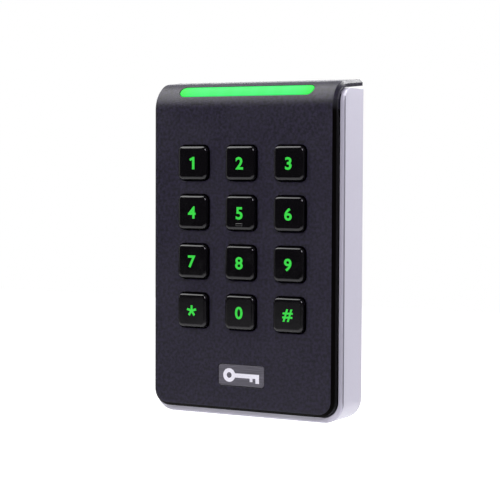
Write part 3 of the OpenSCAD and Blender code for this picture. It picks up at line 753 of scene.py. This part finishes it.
def key_loops(width):
    """A key lying flat, its bow a ring at the left: the outline runs round the bow's circle, along the shaft,
    round its tip and back past two square teeth. Its hole is a smaller circle."""
    bow, hole, shaft = 0.168 * width, 0.07 * width, 0.052 * width
    middle = -width / 2 + bow
    open_turn = math.asin(shaft / bow)
    turn = np.linspace(open_turn, 2 * math.pi - open_turn, 49)
    ring = np.stack([middle + bow * np.cos(turn), bow * np.sin(turn)], 1)
    tip, drop = width / 2, 0.168 * width
    teeth = [
        (tip - 0.26 * width, -shaft), (tip - 0.26 * width, -0.8 * drop), (tip - 0.18 * width, -0.8 * drop),
        (tip - 0.18 * width, -shaft), (tip - 0.1 * width, -shaft), (tip - 0.1 * width, -drop),
        (tip, -drop), (tip, shaft)]
    inner = np.linspace(0, 2 * math.pi, 33)[:-1]
    return [np.vstack([ring, teeth]),
            np.stack([middle + hole * np.cos(inner), hole * np.sin(inner)], 1)]


# Materials

class Finish:
    """A node material with its own noise on Object coordinates. Sizes are in metres."""

    def __init__(self, name, base, roughness, metallic=0.0, **sockets):
        self.material = bpy.data.materials.new(name)
        self.material.use_nodes = True
        self.tree = self.material.node_tree
        self.shader = self.tree.nodes["Principled BSDF"]
        self.shader.inputs["Base Color"].default_value = (*base, 1)
        self.shader.inputs["Roughness"].default_value = roughness
        self.shader.inputs["Metallic"].default_value = metallic
        for socket, value in sockets.items():
            self.shader.inputs[socket.replace("_", " ")].default_value = value
        self.base = base
        self.coords = self.tree.nodes.new("ShaderNodeTexCoord").outputs["Object"]
        self.bumped = None

    def node(self, kind, **values):
        """A new node with its sockets and settings filled in by name."""
        made = self.tree.nodes.new(kind)
        for key, value in values.items():
            if key in made.inputs:
                made.inputs[key].default_value = value
            else:
                setattr(made, key, value)
        return made

    def link(self, a, b):
        """Links an output to an input."""
        self.tree.links.new(a, b)

    def stretched(self, stretch):
        """Object coordinates with each axis multiplied."""
        mapping = self.node("ShaderNodeMapping")
        mapping.inputs["Scale"].default_value = stretch
        self.link(self.coords, mapping.inputs["Vector"])
        return mapping.outputs["Vector"]

    def noise(self, size, detail=4, stretch=None):
        """Noise of a given grain."""
        made = self.node("ShaderNodeTexNoise", Scale=1 / size, Detail=detail)
        self.link(self.stretched(stretch) if stretch else self.coords, made.inputs["Vector"])
        return made.outputs["Fac"]

    def cells(self, size, feature="F1"):
        """The distance within cells of a given size."""
        made = self.node("ShaderNodeTexVoronoi", Scale=1 / size, feature=feature)
        self.link(self.coords, made.inputs["Vector"])
        return made.outputs["Distance"]

    def waves(self, size, direction="X", distortion=0.0):
        """Bands of a given width across a direction."""
        made = self.node(
            "ShaderNodeTexWave", Scale=math.pi / 10 / size, Distortion=distortion, bands_direction=direction)
        self.link(self.coords, made.inputs["Vector"])
        return made.outputs["Fac"]

    def span(self, value, low, high, start=0.0, end=1.0):
        """Maps a value from start..end to low..high."""
        made = self.node("ShaderNodeMapRange")
        made.inputs["From Min"].default_value = start
        made.inputs["From Max"].default_value = end
        made.inputs["To Min"].default_value = low
        made.inputs["To Max"].default_value = high
        self.link(value, made.inputs["Value"])
        return made.outputs["Result"]

    def blend(self, value, a, b):
        """Mixes two colours by a value."""
        made = self.node("ShaderNodeMix", data_type="RGBA")
        self.link(value, made.inputs["Factor"])
        for socket, c in ((made.inputs[6], a), (made.inputs[7], b)):
            if hasattr(c, "links"):
                self.link(c, socket)
            else:
                socket.default_value = (*c, 1)
        return made.outputs[2]

    def colour(self, value):
        """Sets the base colour to a node's output."""
        self.link(value, self.shader.inputs["Base Color"])
        return self

    def shades(self, size, spread, detail=4, stretch=None, start=0.3, end=0.7):
        """Varies the base colour a little with noise."""
        low = tuple(c * (1 - spread) for c in self.base)
        high = tuple(min(c * (1 + spread), 1) for c in self.base)
        share = self.span(self.noise(size, detail, stretch), 0, 1, start, end)
        return self.colour(self.blend(share, low, high))

    def roughness(self, value, low, high, start=0.3, end=0.7):
        """Varies the roughness between low and high with a value."""
        self.link(self.span(value, low, high, start, end), self.shader.inputs["Roughness"])
        return self

    def bump(self, value, depth, strength=1.0):
        """Adds relief of a given depth, on top of any that is there."""
        made = self.node("ShaderNodeBump", Distance=depth, Strength=strength)
        self.link(value, made.inputs["Height"])
        if self.bumped:
            self.link(self.bumped, made.inputs["Normal"])
        self.bumped = made.outputs["Normal"]
        self.link(self.bumped, self.shader.inputs["Normal"])
        return self

    def axis(self, name):
        """One of the object's coordinates."""
        made = self.node("ShaderNodeSeparateXYZ")
        self.link(self.coords, made.inputs[0])
        return made.outputs[name]

    def math(self, operation, a, b=0.0):
        """A sum on outputs or numbers."""
        made = self.node("ShaderNodeMath", operation=operation)
        for socket, value in zip(made.inputs, (a, b)):
            if hasattr(value, "links"):
                self.link(value, socket)
            else:
                socket.default_value = value
        return made.outputs[0]


def chosen(name):
    """A colour of the panel, as plain numbers."""
    return tuple(getattr(bpy.context.scene.reader_colours, name))


def cover_finish():
    """Satin moulded plastic: fine spark-eroded grain, with sheen that drifts slowly over the face."""
    f = Finish("cover_satin_plastic", chosen("cover"), 0.42, Specular_IOR_Level=0.36)
    f.shades(0.0011, 0.6, 6, start=0.38, end=0.62)
    f.roughness(f.noise(0.012, 5), 0.38, 0.47)
    f.bump(f.noise(0.00022, 3), 0.00003, 0.5)
    f.bump(f.noise(0.0009, 4), 0.00006, 0.3)
    f.bump(f.cells(0.00035), 0.00001, 0.35)
    return f.material


def edge_finish():
    """The polished bevel and side of the cover: near black as painted shade, with faint drawing lines, and
    paler up the roll as a painted sheen.
    """
    # The near-black base colour is painted shade on the bevel and side.
    f = Finish("cover_edge_polish", (0.0014, 0.001, 0.0009), 0.3, Specular_IOR_Level=0.02)
    bend_z = CoverSurface().bend_z
    # Painted sheen: the colour goes paler up the roll, standing in for the reflection that the low specular
    # level leaves out.
    painted_sheen_rise = f.span(f.axis("Z"), 0, 1, (bend_z - 1) * MM, (bend_z + EDGE_TOP) * MM)
    drawn = f.blend(f.noise(0.002), tuple(c * 0.6 for c in f.base), tuple(c * 1.4 for c in f.base))
    f.colour(f.blend(painted_sheen_rise, drawn, (0.023, 0.0225, 0.027)))
    f.roughness(f.noise(0.004, 5, (1, 1, 0.2)), 0.26, 0.36)
    f.bump(f.noise(0.0005, 4, (1, 1, 0.1)), 0.000004, 0.3)
    return f.material


def key_finish():
    """High-gloss plastic with faint smudges and the slight waviness of a moulded face."""
    f = Finish("key_gloss_plastic", chosen("keys"), 0.1, Specular_IOR_Level=0.5)
    f.shades(0.003, 0.2)
    f.roughness(f.noise(0.005, 6), 0.07, 0.17, 0.4, 0.75)
    f.bump(f.noise(0.006, 2), 0.00002, 0.35)
    f.bump(f.noise(0.0002, 3, (1, 1, 6)), 0.000002, 0.2)
    return f.material


def legend_finish():
    """Light behind a translucent print, with a fine speckle."""
    light = chosen("legend")
    grain = 0.0004
    f = Finish("legend_green_print", tuple(c * 0.25 for c in light), 0.35, Emission_Strength=1.0)
    speckle = f.span(f.noise(grain), 0, 1, 0.35, 0.65)
    f.link(f.blend(speckle, tuple(c * 0.8 for c in light), light), f.shader.inputs["Emission Color"])
    f.bump(f.noise(grain, 3), 0.00001, 0.3)
    return f.material


def bar_finish():
    """A lit lens: a paler green above each lamp, deeper green towards both ends, and little gloss."""
    light = chosen("bar")
    f = Finish("status_bar_lens", tuple(c * 0.05 for c in light), 0.35, Emission_Strength=1.0,
               Specular_IOR_Level=0.12)
    across = f.math("ABSOLUTE", f.axis("X"))
    ends = f.span(across, 0, 1, 0.021, 0.0285)
    lamps = f.span(f.waves(0.0069, "X", 0.2), 0.0, 0.35, 0.2, 0.9)
    body = f.blend(lamps, light, (0.04, 0.86, 0.18))
    deep = f.blend(ends, body, (0.008, 0.8, 0.04))
    f.link(deep, f.shader.inputs["Emission Color"])
    f.bump(f.noise(0.0008, 4), 0.00001, 0.25)
    return f.material


def silver_finish():
    """Silver paint: flakes that shift the tone, satin gloss and a trace of orange peel. It has painted shade,
    a darker line, on the step between the front rim and the outer sides."""
    f = Finish("housing_silver_paint", chosen("silver"), 0.4, 0.2)
    flakes = f.cells(0.00016)
    drift = f.noise(0.02, 4)
    low, high = tuple(c * 0.88 for c in f.base), tuple(min(c * 1.1, 1) for c in f.base)
    ground = f.blend(f.span(drift, 0, 1, 0.3, 0.7), low, f.base)
    paint = f.blend(f.math("MULTIPLY_ADD", flakes, 0.6), ground, high)
    # Painted shade: the step between the front rim and the sides is darkened to 0.4 of the paint, where its
    # shadow falls.
    low_corner, high_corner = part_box("housing")
    side, front = high_corner[0], low_corner[1]
    outer = f.span(f.math("ABSOLUTE", f.axis("X")), 0, 1, side - 0.45 * MM, side - 0.38 * MM)
    near = f.span(f.axis("Y"), 1, 0, front + 0.47 * MM, front + 0.55 * MM)
    f.colour(f.blend(f.math("MULTIPLY", outer, near), paint, tuple(c * 0.4 for c in f.base)))
    f.roughness(f.noise(0.0009, 5), 0.34, 0.46)
    f.bump(f.noise(0.0011, 3), 0.00001, 0.35)
    f.bump(flakes, 0.000004, 0.4)
    return f.material


def badge_finish():
    """A satin metal plate brushed from side to side."""
    f = Finish("badge_brushed_plate", chosen("badge"), 0.4, 0.4)
    brush = f.noise(0.0004, 5, (0.03, 1, 1))
    f.shades(0.0004, 0.3, 5, (0.03, 1, 1))
    f.roughness(brush, 0.3, 0.5)
    f.bump(brush, 0.000012, 0.5)
    return f.material


def foil_finish():
    """Matt silver foil."""
    f = Finish("badge_foil_mark", chosen("mark"), 0.42, 0.25)
    f.shades(0.0005, 0.06)
    f.roughness(f.noise(0.0012, 4), 0.34, 0.5)
    f.bump(f.noise(0.0003, 3), 0.000006, 0.5)
    return f.material


def rubber_finish():
    """Black rubber with a fine grain."""
    f = Finish("black_seal_rubber", (0.012, 0.012, 0.012), 0.75)
    f.shades(0.0012, 0.35)
    f.roughness(f.noise(0.0008, 5), 0.62, 0.85)
    f.bump(f.noise(0.00035, 5), 0.00004, 0.5)
    return f.material


def steel_finish(name, base, low, high, stretch):
    """Cold-rolled or turned steel: brushed lines, with roughness that follows them."""
    f = Finish(name, base, (low + high) / 2, 1.0)
    lines = f.noise(0.0003, 6, stretch)
    f.shades(0.0003, 0.14, 6, stretch)
    f.roughness(lines, low, high)
    f.bump(lines, 0.00001, 0.45)
    f.bump(f.noise(0.006, 3), 0.00003, 0.2)
    return f.material


def zinc_finish():
    """Galvanised sheet: spangles with their own tone and gloss under a fine roll grain."""
    f = Finish("mounting_zinc_sheet", (0.5, 0.51, 0.53), 0.4, 1.0)
    spangle = f.node("ShaderNodeTexVoronoi", Scale=260.0)
    f.link(f.coords, spangle.inputs["Vector"])
    tone = f.node("ShaderNodeSeparateColor")
    f.link(spangle.outputs["Color"], tone.inputs[0])
    f.colour(f.blend(tone.outputs[0], (0.43, 0.44, 0.46), (0.6, 0.61, 0.63)))
    f.roughness(tone.outputs[1], 0.3, 0.48, 0, 1)
    f.bump(f.noise(0.0003, 5, (1, 1, 0.06)), 0.00001, 0.4)
    return f.material


def board_finish():
    """Solder mask over copper tracks: the tracks are cell borders, a touch paler and raised."""
    f = Finish("board_solder_mask", (0.008, 0.09, 0.035), 0.32, Coat_Weight=0.3, Coat_Roughness=0.2)
    edge = f.cells(0.0026, "DISTANCE_TO_EDGE")
    tracks = f.span(edge, 1, 0, 0.05, 0.09)
    f.colour(f.blend(tracks, (0.006, 0.07, 0.028), (0.02, 0.17, 0.06)))
    f.roughness(f.noise(0.002, 4), 0.26, 0.4)
    f.bump(tracks, 0.00003, 0.6)
    return f.material


def moulded_finish(name, base, low, high, grain, depth, metallic=0.0, **sockets):
    """A plain moulded or cast surface with its own grain."""
    f = Finish(name, base, (low + high) / 2, metallic, **sockets)
    f.shades(grain * 4, 0.16)
    f.roughness(f.noise(grain * 6, 5), low, high)
    f.bump(f.noise(grain, 4), depth, 0.5)
    return f.material


def winding_finish():
    """Enamelled copper wire laid side by side: narrow bands along the depth of the coil."""
    f = Finish("antenna_copper_winding", (0.62, 0.26, 0.12), 0.28, 1.0, Coat_Weight=0.5)
    turns = f.waves(0.0003, "Y")
    f.colour(f.blend(turns, (0.3, 0.1, 0.045), (0.72, 0.33, 0.16)))
    f.roughness(f.noise(0.001, 4), 0.2, 0.38)
    f.bump(turns, 0.00008, 0.7)
    return f.material


def fittings_finishes():
    """The finish of each material slot whose frame nodes stay."""
    return {
        "mounting_plate": zinc_finish(),
        "steel_hardware": steel_finish("zinc_plated_steel", (0.55, 0.55, 0.56), 0.22, 0.42, (1, 0.1, 1)),
        "security_screw": steel_finish("stainless_screw", (0.5, 0.49, 0.48), 0.2, 0.38, (1, 1, 0.1)),
        "terminal_screws": steel_finish("terminal_screw_steel", (0.6, 0.6, 0.6), 0.2, 0.4, (1, 0.1, 1)),
        "seal_rubber": rubber_finish(),
        "brass": moulded_finish("turned_brass", (0.72, 0.5, 0.2), 0.22, 0.4, 0.0002, 0.00002, 1.0),
        "circuit_board": board_finish(),
        "keypad_mat": moulded_finish("keypad_silicone", (0.62, 0.62, 0.58), 0.45, 0.6, 0.0004, 0.00002,
                                     Subsurface_Weight=0.3, Subsurface_Scale=0.002),
        "carbon": moulded_finish("contact_carbon", (0.012, 0.012, 0.013), 0.5, 0.7, 0.0002, 0.00002),
        "gold_pad": moulded_finish("gold_contact", (0.85, 0.6, 0.2), 0.2, 0.35, 0.0002, 0.00001, 1.0),
        "lamp": moulded_finish("lamp_resin", (0.75, 0.8, 0.6), 0.2, 0.35, 0.0003, 0.00001),
        "light_guide": moulded_finish("guide_acrylic", (0.75, 0.95, 0.82), 0.08, 0.2, 0.0006, 0.00001,
                                      Transmission_Weight=0.6, IOR=1.49),
        "antenna_frame": moulded_finish("antenna_nylon", (0.62, 0.58, 0.5), 0.4, 0.55, 0.0003, 0.00003),
        "copper": winding_finish(),
        "ferrite": moulded_finish("ferrite_grey", (0.03, 0.03, 0.034), 0.45, 0.65, 0.0002, 0.00003),
        "chip_resin": moulded_finish("chip_epoxy", (0.012, 0.012, 0.013), 0.4, 0.6, 0.00015, 0.00002),
        "capacitor_can": steel_finish("capacitor_aluminium", (0.72, 0.72, 0.74), 0.2, 0.35, (1, 0.1, 1)),
        "terminal_block": moulded_finish("terminal_polyamide", (0.02, 0.2, 0.06), 0.35, 0.5, 0.0003, 0.00003),
    }


# Housing: the frame's own shape with its edges eased

def eased_copy(node, name, width, segments):
    """A welded copy of a frame node whose flat areas are single faces, with every edge that turns more than
    32 degrees rounded by a bevel."""
    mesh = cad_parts[node].data.copy()
    mesh.name = name
    bm = bmesh.new()
    bm.from_mesh(mesh)
    bmesh.ops.remove_doubles(bm, verts=bm.verts, dist=1e-6)
    bmesh.ops.dissolve_limit(bm, angle_limit=math.radians(1), verts=bm.verts, edges=bm.edges)
    bm.to_mesh(mesh)
    bm.free()
    for layer in ("custom_normal", "sharp_edge", "sharp_face"):
        if layer in mesh.attributes:
            mesh.attributes.remove(mesh.attributes[layer])
    mesh.shade_smooth()
    made = linked(name, mesh)
    bevel = made.modifiers.new("eased_edges", "BEVEL")
    bevel.width = width * MM
    bevel.segments = segments
    bevel.limit_method = "ANGLE"
    bevel.angle_limit = math.radians(32)
    bevel.use_clamp_overlap = False
    bevel.harden_normals = True
    return made


def polished_and_shaded_faces(mesh):
    """True for the faces of the cover's bevel and side, which take the painted shade: outside the bevel's
    inner line across, or below it, and not facing the front or the back."""
    c = CoverSurface()
    count = len(mesh.polygons)
    centres, normals = np.empty(count * 3), np.empty(count * 3)
    mesh.polygons.foreach_get("center", centres)
    mesh.polygons.foreach_get("normal", normals)
    centres, normals = centres.reshape(-1, 3) / MM, normals.reshape(-1, 3)
    x, z = abs(centres[:, 0]), centres[:, 2]
    line = c.half - c.bevel
    middle = c.half - c.corner
    out = np.hypot(np.maximum(x - middle, 0), np.maximum(c.foot + c.corner - z, 0))
    round_foot = (z < c.foot + c.corner) & (out > c.corner - c.bevel)
    side = (x > line) & (z > c.foot + c.corner) & (z < c.bend_z + EDGE_TOP)
    return (side | round_foot) & (abs(normals[:, 1]) < 0.97)


# Operators

class READER_OT_cover(bpy.types.Operator):
    """Front cover: a skin over a flat face, a rolled top and a hood, with its openings and its skirt"""
    bl_idname = "reader.cover"
    bl_label = "Front cover"

    def execute(self, context):
        made = piece("front_cover_shell", cover_shell())
        finish_piece(made, BODY, "front_cover", cover_finish(), "front_cover")
        # The bevel and side get the edge material, coloured with painted shade and painted sheen.
        made.data.materials.append(edge_finish())
        made.data.polygons.foreach_set("material_index", polished_and_shaded_faces(made.data).astype(np.int32))
        return {"FINISHED"}


class READER_OT_housing(bpy.types.Operator):
    """Housing: the painted tray with its edges eased"""
    bl_idname = "reader.housing"
    bl_label = "Housing"

    def execute(self, context):
        made = eased_copy("housing", "housing_tray", 0.12, 2)
        finish_piece(made, BODY, "housing", silver_finish(), "housing")
        return {"FINISHED"}


class READER_OT_keys(bpy.types.Operator):
    """Keys: twelve caps with their lit legends, and a pip under the middle one"""
    bl_idname = "reader.keys"
    bl_label = "Keys"

    def execute(self, context):
        k = context.scene.reader_keys
        gloss, glow = key_finish(), legend_finish()
        for body, node, symbol, column, row in KEYS:
            x, z = KEY_X[column], KEY_Z[row]
            cap = piece(node + "_cap", keycap_parts(x, z, symbol == "5"))
            finish_piece(cap, body, "keycap", gloss, node)
            place = (x * MM, (KEY_FRONT - LEGEND_OUT) * MM, (z - LEGEND_DROP) * MM)
            legend = flat_object(body + "_legend", upright(legend_mesh(symbol, k.legend), *place))
            finish_piece(legend, body, "keycap", glow)
        return {"FINISHED"}


class READER_OT_status_bar(bpy.types.Operator):
    """Status bar: a lens that follows the rolled top"""
    bl_idname = "reader.status_bar"
    bl_label = "Status bar"

    def execute(self, context):
        c = CoverSurface()
        depths = (LENS_DEPTH, c.shell - LENS_DEPTH)
        made = piece("status_bar_lens", plate_parts(c, (0, c.bar), LENS, LENS_R, BAR_STEPS, 0.35, depths, 5))
        finish_piece(made, BODY, "light_bar", bar_finish(), "light_bar")
        return {"FINISHED"}


class READER_OT_badge(bpy.types.Operator):
    """Badge: a brushed plate in its recess, with a plain key pictogram"""
    bl_idname = "reader.badge"
    bl_label = "Badge"

    def execute(self, context):
        b = context.scene.reader_badge
        low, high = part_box("badge")
        flat = FlatSurface(low[1] / MM)
        z = node_middle("badge").z / MM
        size = (node_size("badge").x / MM, node_size("badge").z / MM)
        depths = (0, (high[1] - low[1]) / MM)
        parts = plate_parts(flat, (0, z), size, b.corner / MM, BADGE_STEPS, 0.4, depths, 4)
        plate = piece("badge_plate", parts)
        finish_piece(plate, BODY, "badge", badge_finish(), "badge")
        mesh = flat_mesh(loops_curve("badge_mark", key_loops(b.mark), MARK_PLATE * MM))
        mark = flat_object("badge_key_mark", upright(mesh, 0, low[1] - MARK_OUT * MM, z * MM))
        finish_piece(mark, BODY, "badge", foil_finish())
        return {"FINISHED"}


class READER_OT_fittings(bpy.types.Operator):
    """Finishes for the frame's own pieces: plate, screws, seals, boards and what they carry"""
    bl_idname = "reader.fittings"
    bl_label = "Fittings"

    def execute(self, context):
        finishes = fittings_finishes()
        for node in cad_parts.values():
            for holder in node.material_slots:
                name = holder.material.name if holder.material else ""
                if name in finishes:
                    holder.material = finishes[name]
        return {"FINISHED"}


# Stage: pale floor, soft light and the camera

# The floor's height in metres, and the camera: degrees, and millimetres
FLOOR_Z = -0.3
VIEW = {
    "azimuth": 28.95, "elevation": 2.89, "roll": 0.23,
    "target": (1.57, -16, 1.41), "distance": 616.5, "lens": 119.7,
}


def aim(made, place, target):
    """Puts a light at a place and turns its -Z axis to the target."""
    made.location = place
    made.rotation_euler = (Vector(target) - Vector(place)).to_track_quat("-Z", "Y").to_euler()


def area_light(name, place, size, energy, colour=(1, 1, 1)):
    """A rectangular light turned to the origin: its size in metres and its energy in watts."""
    light = bpy.data.lights.new(name, "AREA")
    light.shape = "RECTANGLE"
    light.size, light.size_y = size
    light.energy = energy
    light.color = colour
    aim(linked(name, light), place, (0, 0, 0))


def backdrop_world():
    """A white backdrop: full white where it is seen, and as light on the reader bright from behind and dim
    from the front, by the Y of the direction."""
    world = bpy.data.worlds.new("studio_world")
    world.use_nodes = True
    tree = world.node_tree
    new, link = tree.nodes.new, tree.links.new
    lit = tree.nodes["Background"]
    lit.inputs["Color"].default_value = (0.93, 0.92, 1, 1)
    split = new("ShaderNodeSeparateXYZ")
    link(new("ShaderNodeTexCoord").outputs["Generated"], split.inputs[0])
    fall = new("ShaderNodeMapRange")
    fall.interpolation_type = "SMOOTHSTEP"
    for socket, value in (("From Min", -0.35), ("From Max", 0.75), ("To Min", 0.06), ("To Max", 0.75)):
        fall.inputs[socket].default_value = value
    link(split.outputs["Y"], fall.inputs["Value"])
    link(fall.outputs["Result"], lit.inputs["Strength"])
    seen = new("ShaderNodeBackground")
    seen.inputs["Color"].default_value = (1, 1, 1, 1)
    mix = new("ShaderNodeMixShader")
    link(new("ShaderNodeLightPath").outputs["Is Camera Ray"], mix.inputs[0])
    link(lit.outputs[0], mix.inputs[1])
    link(seen.outputs[0], mix.inputs[2])
    link(mix.outputs[0], tree.nodes["World Output"].inputs[0])
    return world


class READER_OT_stage(bpy.types.Operator):
    """Stage: a pale floor below, soft lights and the camera"""
    bl_idname = "reader.stage"
    bl_label = "Stage"

    def execute(self, context):
        half = 3.0
        points = [(x, y, FLOOR_Z) for x, y in ((-half, -half), (half, -half), (half, half), (-half, half))]
        mesh = bpy.data.meshes.new("floor")
        mesh.from_pydata(points, [], [(0, 1, 2, 3)])
        floor = linked("floor", mesh)
        paper = Finish("floor_white_paper", (0.6, 0.6, 0.6), 0.85)
        paper.shader.inputs["Emission Color"].default_value = (1, 1, 1, 1)
        seen = paper.node("ShaderNodeLightPath").outputs["Is Camera Ray"]
        paper.link(paper.span(seen, 0.16, 1.0), paper.shader.inputs["Emission Strength"])
        paper.shades(0.004, 0.01)
        mesh.materials.append(paper.material)
        context.scene.world = backdrop_world()
        area_light("top_softbox", (-0.5, -0.25, 0.85), (1.1, 1.1), 18)
        area_light("back_softbox", (0.12, 0.95, 0.5), (0.6, 0.6), 13)
        area_light("left_back_softbox", (-0.5, 0.9, 0.25), (0.5, 0.35), 1.5)
        area_light("right_softbox", (0.95, 0.35, 0.25), (0.7, 1.0), 0.9)
        area_light("left_softbox", (-1.0, -0.35, 0.35), (0.5, 0.9), 0.8)
        area_light("front_fill", (0.7, -1.1, 0.65), (0.6, 0.6), 14, (0.93, 0.89, 1))
        camera_object(context)
        context.scene.view_settings.view_transform = "Standard"
        return {"FINISHED"}


def camera_object(context):
    """The camera at its distance along the view direction, with its axes built from azimuth and elevation and
    turned by the roll."""
    a, e, roll = (math.radians(VIEW[k]) for k in ("azimuth", "elevation", "roll"))
    back = Vector((math.sin(a) * math.cos(e), -math.cos(a) * math.cos(e), math.sin(e)))
    right = (-back).cross(Vector((0, 0, 1))).normalized()
    up = right.cross(-back)
    side = right * math.cos(roll) + up * math.sin(roll)
    top = up * math.cos(roll) - right * math.sin(roll)
    place = Vector(VIEW["target"]) * MM + back * VIEW["distance"] * MM
    data = bpy.data.cameras.new("camera")
    data.lens = VIEW["lens"]
    data.sensor_width = 36
    data.clip_start = 0.01
    made = linked("camera", data)
    made.matrix_world = Matrix((
        (side.x, top.x, back.x, place.x), (side.y, top.y, back.y, place.y),
        (side.z, top.z, back.z, place.z), (0, 0, 0, 1)))
    context.scene.camera = made


class READER_PT_panel(bpy.types.Panel):
    """The reader's pieces, in the order they are made"""
    bl_idname = "READER_PT_panel"
    bl_label = "Access reader"
    bl_space_type = "VIEW_3D"
    bl_region_type = "UI"
    bl_category = "Reader"

    def draw(self, context):
        for operator in OPERATORS:
            self.layout.operator(operator.bl_idname)
        for group in ("reader_cover", "reader_keys", "reader_badge", "reader_colours"):
            sizes = getattr(context.scene, group)
            for name in sizes.__annotations__:
                self.layout.prop(sizes, name)


GROUPS = {
    "reader_cover": ReaderCoverSizes, "reader_keys": ReaderKeySizes,
    "reader_badge": ReaderBadgeSizes, "reader_colours": ReaderColours,
}
OPERATORS = (
    READER_OT_fittings, READER_OT_housing, READER_OT_cover, READER_OT_status_bar,
    READER_OT_badge, READER_OT_keys, READER_OT_stage,
)


def register():
    for kind in (*GROUPS.values(), *OPERATORS, READER_PT_panel):
        bpy.utils.register_class(kind)
    for name, kind in GROUPS.items():
        setattr(bpy.types.Scene, name, PointerProperty(type=kind))


def unregister():
    for name in GROUPS:
        delattr(bpy.types.Scene, name)
    for kind in (READER_PT_panel, *OPERATORS[::-1], *GROUPS.values()):
        bpy.utils.unregister_class(kind)


def main():
    register()
    for operator in OPERATORS:
        group, name = operator.bl_idname.split(".")
        getattr(getattr(bpy.ops, group), name)()
    bpy.context.view_layer.update()


if __name__ == "__main__":
    main()
